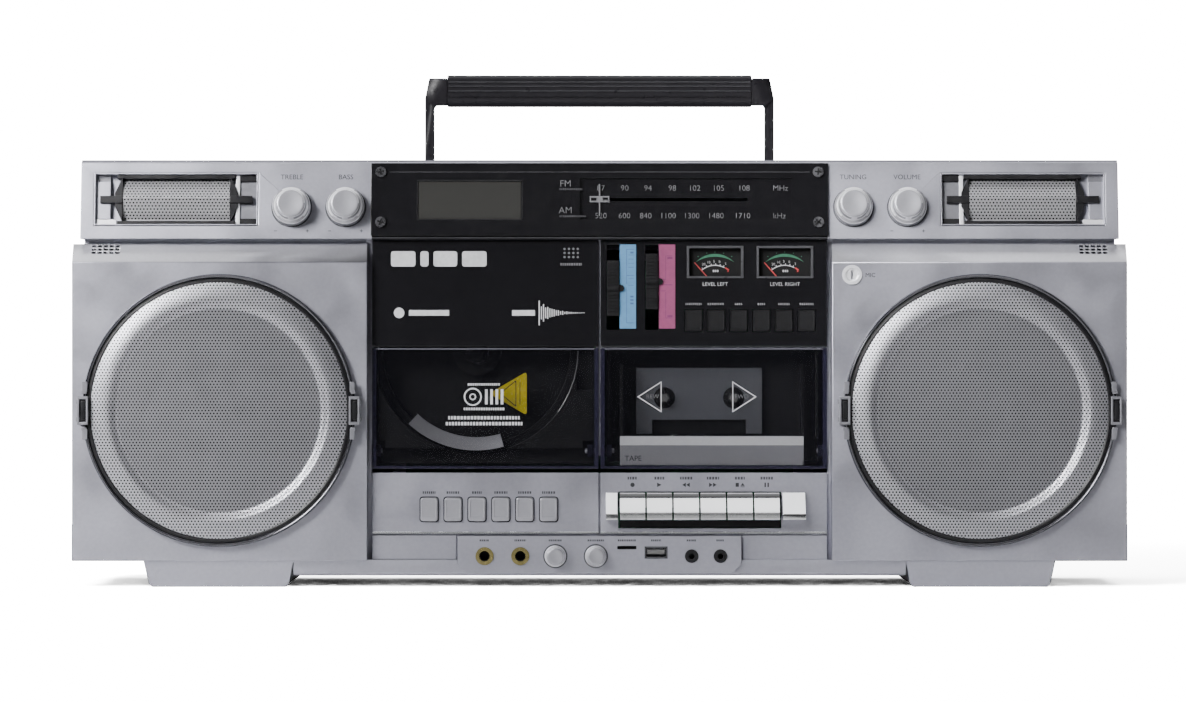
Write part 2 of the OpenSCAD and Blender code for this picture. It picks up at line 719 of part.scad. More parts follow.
// Two-pin appliance inlet in the back
module power_inlet() {
    color(black) difference() {
        block([150, 176], [back_y - 16, back_y], [40, 58]);
        for (s = [-1, 1])
            rod_y(163 + s * 3.5, 49, 4.6, [back_y - 12, back_y + 1]);
        block([159.5, 166.5], [back_y - 12, back_y + 1], [44.4, 53.6]);
    }
    color(chrome) for (s = [-1, 1])
        rod_y(163 + s * 4.3, 49, 1.2, [back_y - 13, back_y - 3]);
}

module built_in_mic() {
    color(chrome) difference() {
        union() {
            rod_y(154, 190.5, 6, [front_y - 1.2, front_y]);
            rod_y(154, 190.5, 5, [front_y - eps, front_y + 9]);
        }
        turned(154, front_y - 0.2, 190.5, [[0, 0], [3, 0], [5, 1.5], [0, 1.5]]);
        block([153.4, 154.6], [front_y - 2, front_y + 4], [187.8, 193.2]);
    }
}

// ---- handle ----

module handle_frame() {
    inner = handle_half - arm_t;
    color([0.17, 0.17, 0.18]) both_sides() {
        difference() {
            union() {
                block([inner, handle_half], [handle_y - 6, handle_y + 6], [handle_z, handle_top - 14.5]);
                rod_x(handle_y, handle_z, 6, [inner, handle_half]);
                prism_y([handle_y - 7, handle_y + 7], [
                    [inner - 8.2, handle_top - 18.4], [inner - 1.4, handle_top - 18.4],
                    [inner, handle_top - 20], [handle_half, handle_top - 14.5],
                    [handle_half - 2.6, handle_top - 1.9], [inner - 8.2, handle_top - 1.9]]);
                block([0, inner], [handle_y - 4, handle_y + 4], [handle_top - 14, handle_top - 5]);
            }
        }
        rod_x(handle_y, handle_z, handle_pin_r, [handle_half - eps, tub_half + wall - 0.5]);
    }
}

// Sleeve round the cross bar, grooved lengthways on the front and back
module handle_grip() {
    half = handle_half - arm_t - 8.3;
    color(black) difference() {
        prism_x([-half, half], [
            [handle_y - 7.5, handle_top - 17.4], [handle_y - 5.5, handle_top - 19.4],
            [handle_y + 5.5, handle_top - 19.4], [handle_y + 7.5, handle_top - 17.4],
            [handle_y + 7.5, handle_top - 2], [handle_y + 5.5, handle_top],
            [handle_y - 5.5, handle_top], [handle_y - 7.5, handle_top - 2]]);
        block([-half - 1, half + 1], [handle_y - 4.1, handle_y + 4.1],
            [handle_top - 14.1, handle_top - 4.9]);
        for (i = [0:3])
            translate([0, 0, handle_top - 5 - i * 3.2]) {
                block([-half - 1, half + 1], [handle_y - 8, handle_y - 6.7], [0, 1.2]);
                block([-half - 1, half + 1], [handle_y + 6.7, handle_y + 8], [0, 1.2]);
            }
    }
}

// ---- knobs, buttons and keys ----

module wing_knob(x) {
    on_wing(x, knob_z) color(silver) difference() {
        union() {
            turned(0, -gap, 0, [
                [0, 0], [knob_r, 0], [knob_r, 5], [knob_r - 1, 6], [knob_r - 2.2, 6.6],
                [knob_r - 2.7, knob_len - 1.2], [knob_r - knob_lip, knob_len - gap], [0, knob_len - gap]]);
            rod_y(0, 0, 3, [-eps, 12]);
        }
        rod_y(0, 0, 1.2, [4, 13]);
    }
}

module treble_knob() wing_knob(-knob_x[1]);
module bass_knob() wing_knob(-knob_x[0]);
module tuning_knob() wing_knob(knob_x[0]);
module volume_knob() wing_knob(knob_x[1]);

module panel_knob(x) {
    color(silver) difference() {
        union() {
            turned(x, jack_y - gap, jack_z, [
                [0, 0], [small_knob_r, 0], [small_knob_r, 6.4], [small_knob_r - 0.8, 7.2],
                [0, 7.2]]);
            rod_y(x, jack_z, 2.5, [jack_y - eps, jack_y + 14]);
        }
        // pointer groove
        block([x - 0.4, x + 0.4], [jack_y - 8, jack_y - 7.1], [jack_z + 1, jack_z + small_knob_r]);
    }
}

module echo_knob() panel_knob(small_knob_x[0]);
module mic_level_knob() panel_knob(small_knob_x[1]);

// Cassette key number i from the left: cap, lever and shaft bore
module tape_key(i) {
    x = key_x0 + i * key_pitch;
    color(chrome) difference() {
        union() {
            prism_x([x, x + key_w], key_cap);
            block([x + 2, x + key_w - 2], [centre_y - 1.5, key_shaft_y], [key_shaft_z - 3, key_shaft_z + 3]);
            rod_x(key_shaft_y, key_shaft_z, 3, [x + 2, x + key_w - 2]);
        }
        rod_x(key_shaft_y, key_shaft_z, pin_r + pin_play, [x, x + key_w]);
    }
}

module record_key() tape_key(0);
module play_key() tape_key(1);
module rewind_key() tape_key(2);
module forward_key() tape_key(3);
module stop_key() tape_key(4);
module pause_key() tape_key(5);

// Disc button number i: cap with a slanted lower face
module cd_button(i) {
    x = cd_button_x0 + i * cd_pitch;
    color(silver) prism_x([x - cd_button_w / 2, x + cd_button_w / 2], [
        [centre_y - 2, cd_button_z[0] + 2.4], [centre_y - 2, cd_button_z[1] - 0.6],
        [centre_y - 1.4, cd_button_z[1]], [centre_y + 8, cd_button_z[1]],
        [centre_y + 8, cd_button_z[0]], [centre_y - 0.8, cd_button_z[0]]]);
}

module cd_button_1() cd_button(0);
module cd_button_2() cd_button(1);
module cd_button_3() cd_button(2);
module cd_button_4() cd_button(3);
module cd_button_5() cd_button(4);
module cd_button_6() cd_button(5);

module mode_button(i) {
    x = mode_x0 + i * mode_pitch;
    color(black) prism_x([x - mode_w / 2, x + mode_w / 2], [
        [centre_y - 1, mode_z[0] + 0.8], [centre_y - 1, mode_z[1] - 0.8],
        [centre_y - 0.2, mode_z[1]], [centre_y + 8, mode_z[1]],
        [centre_y + 8, mode_z[0]], [centre_y - 0.2, mode_z[0]]]);
}

module mode_button_1() mode_button(0);
module mode_button_2() mode_button(1);
module mode_button_3() mode_button(2);
module mode_button_4() mode_button(3);
module mode_button_5() mode_button(4);
module mode_button_6() mode_button(5);

// Slider cap k with a raised finger ridge and a foot behind the panel
module slider(k) {
    w = slider_slot[0] / 2 - gap;
    translate([slider_x[k], centre_y, slider_z[k]]) color(black) {
        block([-w, w], [-1.6, 5], [-slider_h / 2, slider_h / 2]);
        prism_x([-w, w], [[-1.5, -2.4], [-3, -1], [-3, 1], [-1.5, 2.4]]);
    }
}

module slider_left() slider(0);
module slider_right() slider(1);

// ---- dial and meters ----

module dial_pointer() {
    color([0.9, 0.9, 0.85]) on_wing(0, dial_slit_z) {
        block([-0.4, 0.4], [-2.3, -1.5], [-10.4, 9.4]);
        difference() {
            block([-6, 6], [-2.3, -1.5], [-1.9, 1.9]);
            for (s = [-1, 1])
                block([s * 3.5 - 1.7, s * 3.5 + 1.7], [-3, -1], [-1, 1]);
        }
        rod_y(0, 0, 0.6, [-1.6, wall]);
        block([-5, 5], [0.5, 2.6], [-5, 5]);
    }
}

module needle(x) {
    color("red") {
        translate([x, 0, needle_pivot_z]) rotate([0, needle_rest, 0])
            block([-0.3, 0.3], [needle_y, needle_y + 0.6], [0, needle_len]);
        rod_y(x, needle_pivot_z, 1.4, [needle_y, needle_y + 1.2]);
        rod_y(x, needle_pivot_z, 0.8, [needle_y + 1, needle_y + 4.5]);
    }
}

module needle_left() needle(meter_x[0]);
module needle_right() needle(meter_x[1]);

// ---- doors ----

// Hinge lug on the back of a door, bored for the pin
module door_lug(x) {
    difference() {
        union() {
            rod_x(hinge_y, hinge_z, door_lug_r, x);
            block(x, [centre_y + door_t - eps, hinge_y], [hinge_z - door_lug_r, hinge_z + door_lug_r]);
        }
        rod_x(hinge_y, hinge_z, pin_r + pin_play, [x[0] - 1, x[1] + 1]);
    }
}

module cd_door() {
    color([0.1, 0.1, 0.12]) difference() {
        union() {
            block([-panel_half, -mid_gap], [centre_y, centre_y + door_t], [door_base, cd_door_top]);
            door_lug([-panel_half + 1.5, -panel_half + 5.5]);
            door_lug([-7.5, -3.5]);
        }
        // step between the painted upper part and the clear window
        block([-panel_half - 1, 0], [centre_y - 1, centre_y + 0.5],
            [tape_door_top, control_base]);
    }
}

module cd_hub() {
    color([0.15, 0.15, 0.16]) difference() {
        union() {
            turned(cd_x, cd_floor - gap, cd_z, [
                [0, 0], [15, 0], [15, 5], [7.6, 5.6], [7.4, 10], [6, 11.6], [0, 11.6]]);
            rod_y(cd_x, cd_z, 3, [cd_floor - eps, centre_y + 30]);
        }
        for (a = [0, 120, 240])
            translate([cd_x, 0, cd_z]) rotate([0, a, 0])
                block([-1.5, 1.5], [cd_floor - 13, cd_floor - 8], [4, 9]);
    }
}

module tape_door() {
    color([0.3, 0.3, 0.35]) {
        block([mid_gap, panel_half], [centre_y, centre_y + door_t], [door_base, tape_door_top]);
        door_lug([3.5, 7.5]);
        door_lug([panel_half - 5.5, panel_half - 1.5]);
    }
}

// Carrier behind the window: lip, floor and two side channels
module tape_holder() {
    y = [centre_y + door_t, centre_y + 17];
    color(silver) difference() {
        union() {
            prism_x([12.5, 125], [
                [y[0], 74], [y[0], 92.3], [y[0] + 0.4, 92.3], [y[0] + 1.8, 88], [y[0] + 1.8, 74]]);
            block([12.5, 125], y, [74, 75.5]);
            for (x = [12.5, 123.2])
                block([x, x + 1.8], y, [74, 136]);
        }
        block([34, 96], [centre_y + 7, centre_y + 18], [73, 76]);
    }
}

// Reel spindle with three drive splines, side s
module spindle(s) {
    x = tape_x + s * reel_gap / 2;
    color("white") {
        turned(x, deck_y - gap, reel_z, [
            [0, 0], [5.6, 0], [5.6, 1.2], [3.4, 1.8], [3.2, 6], [2, 6.9], [0, 6.9]]);
        rod_y(x, reel_z, reel_shaft_r, [deck_y - eps, centre_y + 28]);
        for (a = [0, 120, 240])
            translate([x, 0, reel_z]) rotate([0, a, 0])
                block([-0.5, 0.5], [deck_y - 6, deck_y - 1], [2, 4.9]);
    }
}

module supply_spindle() spindle(-1);
module takeup_spindle() spindle(1);

// ---- aerial and battery cover ----

module antenna_base() {
    color(chrome) translate([aerial_x, aerial_y, 0]) {
        difference() {
            union() {
                translate([0, 0, notch_floor + gap]) cylinder(r = 6, h = 11.4, $fn = round_fn);
                translate([0, 0, notch_floor - wall]) cylinder(r = 2.5, h = wall + 1, $fn = round_fn);
            }
            block([-7, 7], [-3.3, 3.3], [notch_floor + 3.2, notch_floor + 13]);
        }
        rod_y(0, aerial_z, 1.2, [-4, 4]);
    }
}

module antenna_mast() {
    color(chrome) difference() {
        union() {
            rod_y(aerial_x, aerial_z, 3.4, [aerial_y - 3, aerial_y + 3]);
            rod_x(aerial_y, aerial_z, mast_r, [aerial_x, mast_end]);
        }
        rod_y(aerial_x, aerial_z, 1.2 + pin_play, [aerial_y - 4, aerial_y + 4]);
        rod_x(aerial_y, aerial_z, 2.2 + pin_play, [aerial_x + 5, mast_end + 1]);
    }
}

module antenna_tip() {
    color(chrome) {
        rod_x(aerial_y, aerial_z, 2.2, [aerial_x + 8, mast_end + 1]);
        rod_x(aerial_y, aerial_z, mast_r, [mast_end + 0.4, mast_end + 6]);
    }
}

module battery_cover() {
    x = [bay_x[0] - 0.6, bay_x[1] + 0.6];
    y = [back_y - wall, back_y];
    color(silver) difference() {
        union() {
            block(x, y, [bay_z[0] + 1, bay_z[1] + 0.6]);
            rod_x(back_y - 1.5, bay_z[0] + 1, 1.5, x);
            rod_x(back_y - 1.5, bay_z[0] + 1, 0.8, [bay_x[0] - 2.4, bay_x[1] + 2.4]);
        }
        // grip grooves near the latch
        for (i = [0:3])
            block([-80, -40], [back_y - 0.8, back_y + 1], [94 + i * 3, 95.4 + i * 3]);
    }
}

front_cabinet();
rear_cabinet();
dial_panel();
control_panel();
lower_panels();
jack_panel();
sockets();
speaker_rings();
speaker_grilles();
speaker_drivers();
tweeter_frames();
tweeter_grilles();
cd_well();
tape_deck();
circuit_boards();
level_meters();
screws();
power_inlet();
built_in_mic();
handle_frame();
handle_grip();
treble_knob();
bass_knob();
tuning_knob();
volume_knob();
echo_knob();
mic_level_knob();
record_key();
play_key();
rewind_key();
forward_key();
stop_key();
pause_key();
cd_button_1();
cd_button_2();
cd_button_3();
cd_button_4();
cd_button_5();
cd_button_6();
mode_button_1();
mode_button_2();
mode_button_3();
mode_button_4();
mode_button_5();
mode_button_6();
slider_left();
slider_right();
dial_pointer();
needle_left();
needle_right();
cd_door();
cd_hub();
tape_door();
tape_holder();
supply_spindle();
takeup_spindle();
antenna_base();
antenna_mast();
antenna_tip();
battery_cover();
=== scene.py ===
import json
import random
from math import atan2, cos, exp, hypot, pi, radians, sin, sqrt, tan

import bmesh
import bpy
from mathutils import Matrix, Vector

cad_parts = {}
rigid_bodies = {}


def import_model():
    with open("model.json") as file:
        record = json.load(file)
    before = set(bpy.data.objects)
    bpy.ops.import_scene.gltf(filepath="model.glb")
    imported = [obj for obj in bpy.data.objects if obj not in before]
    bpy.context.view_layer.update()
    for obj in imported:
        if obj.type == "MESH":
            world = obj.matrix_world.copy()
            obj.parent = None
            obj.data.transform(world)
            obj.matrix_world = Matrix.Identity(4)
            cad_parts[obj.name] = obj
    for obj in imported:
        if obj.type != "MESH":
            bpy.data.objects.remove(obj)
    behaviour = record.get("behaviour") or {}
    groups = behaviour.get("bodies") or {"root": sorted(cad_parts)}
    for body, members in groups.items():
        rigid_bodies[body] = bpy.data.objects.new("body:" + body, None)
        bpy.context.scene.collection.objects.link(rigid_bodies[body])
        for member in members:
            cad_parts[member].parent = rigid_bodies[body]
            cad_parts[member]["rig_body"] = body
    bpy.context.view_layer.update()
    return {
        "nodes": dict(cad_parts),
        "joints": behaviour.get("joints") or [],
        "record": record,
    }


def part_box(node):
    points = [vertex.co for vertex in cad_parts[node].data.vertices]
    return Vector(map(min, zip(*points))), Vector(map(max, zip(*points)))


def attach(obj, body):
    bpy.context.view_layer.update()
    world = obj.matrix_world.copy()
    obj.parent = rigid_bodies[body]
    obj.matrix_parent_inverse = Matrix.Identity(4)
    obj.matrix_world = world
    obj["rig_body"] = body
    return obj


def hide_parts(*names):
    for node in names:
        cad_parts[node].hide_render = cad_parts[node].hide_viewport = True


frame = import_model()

# Sizes are in millimetres, and MM turns them into the frame's metres. Shader and stage
# sizes are in metres.
MM = 0.001
joints = {j["name"]: j for j in frame["joints"]}
rng = random.Random(7)
SIDES = ((-1, "left"), (1, "right"))


def span(node):
    """Lowest and highest corner of a CAD node."""
    lo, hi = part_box(node)
    return lo / MM, hi / MM


def joint_at(name):
    """Where a joint's axis is."""
    return Vector(joints[name]["pos_m"]) / MM


# ---- places

FRONT = span("front_cabinet")[0].y
PANEL = span("control_panel")[0].y
JACK_Y = span("jack_panel")[0].y
WING = joint_at("tuning_turn")
turn_axis = joints["tuning_turn"]["axis"]
TILT = atan2(-turn_axis[2], turn_axis[1])
DIAL_Z = 236.4


def wing(x, z):
    """Frame on the leaning fascia at x and height z: X right, Z up the slope, -Y outward."""
    y = WING.y + (z - WING.z) * tan(TILT)
    return Matrix.Translation((x, y, z)) @ Matrix.Rotation(-TILT, 4, "X")


def upright(x, y, z):
    """Frame at a point, with the axes of the whole object."""
    return Matrix.Translation((x, y, z))


FACE = upright(0, PANEL, 0)

# ---- materials

# An edge is painted paler, partly as rubbing and partly as a painted highlight, where the rounded
# normal leaves the true one by this much (cosines).
WEAR_SHEEN_START, WEAR_SHEEN_FULL = 0.985, 0.88
WEAR_SHEEN_RADIUS = 0.0005
GRAIN_DEPTH = 0.0002


def set_sockets(node, **values):
    """Sets a node's input sockets by name, _ standing for a space."""
    for socket, value in values.items():
        node.inputs[socket.replace("_", " ")].default_value = value
    return node


def add_node(tree, kind, **values):
    return set_sockets(tree.nodes.new("ShaderNode" + kind), **values)


def material(name, colour, rough=0.4, metal=0.0, vary=0.06, patch=60.0, grain=460.0,
             bump=0.04, rough_vary=0.08, wear_and_sheen=0.0, coat=0.0, **sockets):
    """Procedural finish: soft colour patches, fine grain, uneven gloss and pale edges, partly
    rubbed and partly a painted highlight.
    """
    mat = bpy.data.materials.new(name)
    mat.use_nodes = True
    tree = mat.node_tree
    link = tree.links.new
    shader = tree.nodes["Principled BSDF"]
    place = add_node(tree, "TexCoord")

    def cloud(scale, detail=3.0):
        tex = add_node(tree, "TexNoise", Scale=scale, Detail=detail)
        link(place.outputs["Object"], tex.inputs["Vector"])
        return tex.outputs["Fac"]

    def spread(value, low, high):
        part = add_node(tree, "MapRange", From_Min=0.3, From_Max=0.7, To_Min=low, To_Max=high)
        link(value, part.inputs["Value"])
        return part.outputs["Result"]

    def mix(base, blend):
        node = add_node(tree, "Mix")
        node.data_type = "RGBA"
        node.blend_type = blend
        link(base, node.inputs["A"])
        return node

    def tint(base, value):
        node = mix(base, "MULTIPLY")
        node.inputs["Factor"].default_value = 1.0
        link(value, node.inputs["B"])
        return node.outputs["Result"]

    base = tree.nodes.new("ShaderNodeRGB")
    base.outputs[0].default_value = (*colour, 1.0)
    shade = tint(base.outputs[0], spread(cloud(patch), 1.0 - vary, 1.0 + vary))
    shade = tint(shade, spread(cloud(grain, 1.0), 1.0 - vary, 1.0 + vary))
    # pale edges: partly rubbing, partly a painted highlight along rounded edges
    if wear_and_sheen:
        soft = add_node(tree, "Bevel", Radius=WEAR_SHEEN_RADIUS)
        soft.samples = 4
        true = add_node(tree, "NewGeometry")
        agree = add_node(tree, "VectorMath")
        agree.operation = "DOT_PRODUCT"
        link(soft.outputs["Normal"], agree.inputs[0])
        link(true.outputs["Normal"], agree.inputs[1])
        ramp = add_node(tree, "MapRange", From_Min=WEAR_SHEEN_START, From_Max=WEAR_SHEEN_FULL, To_Max=wear_and_sheen)
        link(agree.outputs["Value"], ramp.inputs["Value"])
        worn_and_lit = mix(shade, "MIX")
        set_sockets(worn_and_lit, B=(*(min(1.0, c * 1.6 + 0.03) for c in colour), 1.0))
        link(ramp.outputs["Result"], worn_and_lit.inputs["Factor"])
        shade = worn_and_lit.outputs["Result"]
    link(shade, shader.inputs["Base Color"])
    link(spread(cloud(patch * 4), max(0.02, rough - rough_vary), rough + rough_vary),
         shader.inputs["Roughness"])
    if bump:
        relief = add_node(tree, "Bump", Strength=bump, Distance=GRAIN_DEPTH)
        link(cloud(grain, 2.0), relief.inputs["Height"])
        link(relief.outputs["Normal"], shader.inputs["Normal"])
    set_sockets(shader, Metallic=metal, Coat_Weight=coat, Coat_Roughness=0.05, **sockets)
    return mat


def ink(name, colour, vary=0.08, rough=0.5):
    """Flat matt colour, for print and for painted shade."""
    return material(name, colour, rough, vary=vary, bump=0.0)


def clear_plastic(name, colour, alpha):
    """Thin smoked sheet: the shader's own transparency, with uneven gloss."""
    mat = material(name, colour, 0.18, vary=0.05, patch=15, rough_vary=0.03, bump=0.0,
                   Alpha=alpha)
    mat.blend_method = "BLEND"
    return mat


silver = material("silver_paint", (0.335, 0.335, 0.385), 0.42, 0.8, vary=0.03, patch=9,
    bump=0.08, wear_and_sheen=0.3, coat=0.06)
silver_key = material("silver_button", (0.31, 0.31, 0.34), 0.42, 0.6, vary=0.02,
    rough_vary=0.03, bump=0.02)
pale_silver = material("pale_silver", (0.74, 0.74, 0.78), 0.44, 0.5, vary=0.03,
    rough_vary=0.04, bump=0.02)
# a brighter copy of the silver paint, used as a painted highlight on up-facing faces
silver_painted_highlight = material("silver_painted_highlight", (0.52, 0.52, 0.56), 0.40, 0.7, vary=0.03, patch=9,
    bump=0.06)
mid_silver = material("shaded_silver", (0.17, 0.17, 0.19), 0.40, 0.4, vary=0.05, bump=0.06)
MESH = {"vary": 0.02, "patch": 25, "rough_vary": 0.03, "bump": 0.0}
mesh_metal = material("perforated_metal", (0.36, 0.36, 0.39), 0.42, 0.75, **MESH)
# a darker copy of the perforated metal, used as painted shade on the grille's flat middle
mesh_painted_shade = material("perforated_painted_shade", (0.23, 0.23, 0.25), 0.42, 0.75, **MESH)
tweeter_metal = material("tweeter_mesh", (0.42, 0.42, 0.44), 0.36, 0.7, vary=0.03, patch=40,
    rough_vary=0.03, bump=0.0)
chrome = material("chrome_plate", (0.78, 0.79, 0.81), 0.09, 1.0, vary=0.03, patch=80,
    rough_vary=0.03, bump=0.01)
dark_chrome = material("dark_chrome", (0.085, 0.085, 0.095), 0.15, 0.9, vary=0.05, patch=50,
    rough_vary=0.04, bump=0.02, wear_and_sheen=0.3)
gloss_black = material("gloss_black", (0.0068, 0.0066, 0.0080), 0.16, vary=0.08,
    rough_vary=0.04, bump=0.01, Specular_IOR_Level=0.35)
satin_black = material("satin_black", (0.0065, 0.0063, 0.0077), 0.36, vary=0.10, bump=0.02,
    wear_and_sheen=0.1, Specular_IOR_Level=0.3)
deep_black = material("deep_black", (0.0046, 0.0045, 0.0055), 0.55, vary=0.15, bump=0.0,
    Specular_IOR_Level=0.2)
cloth_black = material("speaker_cloth", (0.008, 0.008, 0.009), 0.9, vary=0.3, bump=0.6)
handle_black = material("handle_black", (0.0150, 0.0140, 0.0170), 0.34, vary=0.08, bump=0.03,
    wear_and_sheen=0.1, Specular_IOR_Level=0.2)
line_grey = material("fine_line_grey", (0.035, 0.035, 0.04), 0.35, vary=0.08)
deck_grey = material("deck_grey", (0.085, 0.088, 0.102), 0.42, 0.1, bump=0.05)
steel = material("steel", (0.12, 0.12, 0.13), 0.30, 0.9, vary=0.08, bump=0.05)
gold = material("gold_plate", (0.34, 0.29, 0.12), 0.20, 1.0, patch=120, bump=0.02)
# darker gold for the rounded outer edge of the gold collars: painted shade
gold_painted_shade = material("gold_shadow", (0.045, 0.037, 0.018), 0.28, 1.0, vary=0.08, patch=120)
board_green = material("solder_mask", (0.02, 0.10, 0.045), vary=0.15, patch=150)
iron = material("laminated_core", (0.16, 0.15, 0.14), 0.5, 0.7, vary=0.15, bump=0.3)
cone_black = material("cone_paper", (0.02, 0.02, 0.021), 0.75, vary=0.25, bump=0.5)
meter_grey = material("meter_bezel", (0.050, 0.050, 0.056), 0.35, 0.1)
meter_dark = material("meter_face", (0.0035, 0.0035, 0.004), 0.5, vary=0.1, bump=0.0,
    Specular_IOR_Level=0.2)
print_white = ink("print_white", (0.52, 0.52, 0.54))
print_dial = ink("print_dial", (0.13, 0.13, 0.14))
print_grey = ink("print_grey", (0.12, 0.12, 0.13))
dark_print_and_shade = ink("dark_print_and_shade", (0.04, 0.04, 0.048), 0.12)
print_ink = ink("print_ink", (0.012, 0.012, 0.015), 0.12)
print_green = ink("print_green", (0.020, 0.125, 0.065), 0.15)
print_red = ink("print_red", (0.46, 0.035, 0.035), 0.12, 0.45)
label_blue = material("label_blue", (0.09, 0.235, 0.42), 0.42, vary=0.05, patch=90)
label_pink = material("label_pink", (0.235, 0.048, 0.125), 0.42, vary=0.05, patch=90)
ink_blue = ink("ink_blue", (0.045, 0.10, 0.23), 0.10)
ink_pink = ink("ink_pink", (0.14, 0.02, 0.09), 0.10)
label_yellow = material("label_yellow", (0.50, 0.40, 0.006), 0.42, vary=0.08, patch=90)
label_ochre = material("label_ochre", (0.06, 0.045, 0.008), 0.5, vary=0.10)
lcd_grey = material("lcd_glass", (0.014, 0.0136, 0.0118), 0.5, vary=0.02, patch=8, bump=0.0,
    Specular_IOR_Level=0.3)
nylon = material("white_acetal", (0.10, 0.10, 0.10))
pointer_white = material("pointer_white", (0.13, 0.13, 0.14))
smoke = clear_plastic("smoked_window", (0.006, 0.006, 0.009), 0.22)
smoke_edge = clear_plastic("smoked_edge", (0.012, 0.011, 0.024), 0.9)
edge_painted_highlight = clear_plastic("clear_edge_painted_highlight", (0.085, 0.085, 0.105), 0.92)

# ---- outlines

def polar(r, angle, x=0.0, z=0.0):
    """Point (x, z) at radius r and an angle in degrees, from +X towards +Z."""
    a = radians(angle)
    return (x + r * cos(a), z + r * sin(a))


def rounded_block(x0, x1, z0, z1, r, steps=4):
    """Outline of a block with round corners."""
    corners = ((x1 - r, z1 - r, 0), (x0 + r, z1 - r, 90), (x0 + r, z0 + r, 180),
               (x1 - r, z0 + r, 270))
    return [polar(r, a + 90 * k / steps, cx, cz) for cx, cz, a in corners
            for k in range(steps + 1)]


def ring_band(inner, outer, start, end, x, z, steps=24):
    """Outline of an arc band between two angles."""
    angles = [start + (end - start) * i / steps for i in range(steps + 1)]
    return ([polar(outer, a, x, z) for a in angles]
            + [polar(inner, a, x, z) for a in angles[::-1]])


def spot(r, x, z, steps):
    """Outline of a round spot."""
    return [polar(r, 360 * i / steps, x, z) for i in range(steps + 1)]


def rounded_triangle(tip, base_x, half, radius, steps=5):
    """Triangle with its tip to the left and round corners."""
    pts = [Vector(tip), Vector((base_x, tip[1] - half)), Vector((base_x, tip[1] + half))]
    out = []
    for i in range(3):
        p, a, b = pts[i], pts[i - 1], pts[(i + 1) % 3]
        one, two = p + (a - p).normalized() * radius, p + (b - p).normalized() * radius
        for k in range(steps + 1):
            t = k / steps
            out.append(tuple((one * (1 - t) + p * t) * (1 - t) + (p * (1 - t) + two * t) * t))
    return out


def rim_strips(outer, inner):
    """Four-sided strips between two outlines of equally many points."""
    count = len(outer)
    return [[outer[i], outer[(i + 1) % count], inner[(i + 1) % count], inner[i]]
            for i in range(count)]


def triangle_rim(tip, base, half, line=0.5):
    """Outlined triangle that points from its base to its tip."""
    d = 1 if base > tip else -1
    return rim_strips([(tip, 0), (base, half), (base, -half)],
                      [(tip + d * line * 2.2, 0), (base - d * line, half - line * 1.9),
                       (base - d * line, -half + line * 1.9)])


def greek(x, z, width, height):
    """Little blocks that stand in for a word: (x0, x1, z0, z1) for each."""
    blocks, at = [], x - width / 2
    while at < x + width / 2 - 0.3:
        wide = height * 0.78 * rng.choice((0.7, 0.9, 1.0))
        blocks.append((at, min(at + wide, x + width / 2), z - height / 2, z + height / 2))
        at += wide + height * 0.28
    return blocks


# ---- solids

def add_box(bm, lo, hi, bevel=0.0, segments=2):
    """Box from corner to corner, with rounded edges."""
    made = bmesh.ops.create_cube(bm, size=1.0)["verts"]
    size = Vector(hi) - Vector(lo)
    middle = (Vector(hi) + Vector(lo)) / 2
    for vert in made:
        vert.co = Vector(c * s for c, s in zip(vert.co, size)) + middle
    if bevel:
        edges = list({e for v in made for e in v.link_edges})
        bmesh.ops.bevel(bm, geom=edges, offset=bevel, segments=segments, affect="EDGES",
                        profile=0.5)


def add_frame(bm, at, half, rim, depth, bevel):
    """Upright rectangular rim of four boxes, from y = depth[0] to depth[1]."""
    (x, z), (w, h), (rw, rh) = at, half, rim
    for x0, x1, z0, z1 in ((-w, w, h - rh, h), (-w, w, -h, rh - h), (-w, rw - w, -h, h),
                           (w - rw, w, -h, h)):
        add_box(bm, (x + x0, depth[0], z + z0), (x + x1, depth[1], z + z1), bevel, 1)


def add_sides(bm, near, far):
    """Side faces between two loops of vertices."""
    for i in range(len(near)):
        j = (i + 1) % len(near)
        bm.faces.new((near[j], near[i], far[i], far[j]))


def add_prism(bm, outline, depth):
    """Outline of (x, z) points drawn from y = depth[0] to depth[1]."""
    near, far = [[bm.verts.new((x, y, z)) for x, z in outline] for y in depth]
    bm.faces.new(near)
    bm.faces.new(far[::-1])
    add_sides(bm, near, far)


def add_rail(bm, profile, x0, x1, bevel):
    """Side profile of (y, z) points drawn from x0 to x1, its two ends bevelled."""
    near, far = [[bm.verts.new((x, y, z)) for y, z in profile] for x in (x0, x1)]
    caps = [bm.faces.new(near), bm.faces.new(far[::-1])]
    add_sides(bm, near, far)
    edges = [e for cap in caps for e in cap.edges]
    bmesh.ops.bevel(bm, geom=edges, offset=bevel, segments=2, affect="EDGES", profile=0.5)


def add_tower(bm, loops):
    """Closed skin through outlines of equally many (x, z) points, each at its own y."""
    rings = [[bm.verts.new((x, y, z)) for x, z in outline] for outline, y in loops]
    for near, far in zip(rings, rings[1:]):
        add_sides(bm, near, far)
    bm.faces.new(rings[0][::-1])
    bm.faces.new(rings[-1])


def add_plate(bm, outline, holes, depth):
    """Flat plate with round holes (x, z, r), from y = depth[0] to depth[1]."""
    loops = [outline] + [[polar(r, a, x, z) for a in range(0, 360, 8)] for x, z, r in holes]
    edges = []
    for loop in loops:
        verts = [bm.verts.new((x, depth[0], z)) for x, z in loop]
        edges += [bm.edges.new((a, b)) for a, b in zip(verts, verts[1:] + verts[:1])]
    made = bmesh.ops.triangle_fill(bm, use_beauty=True, use_dissolve=False, edges=edges)["geom"]
    faces = [g for g in made if isinstance(g, bmesh.types.BMFace)]
    moved = bmesh.ops.extrude_face_region(bm, geom=faces)["geom"]
    bmesh.ops.translate(bm, vec=(0, depth[1] - depth[0], 0),
                        verts=[g for g in moved if isinstance(g, bmesh.types.BMVert)])


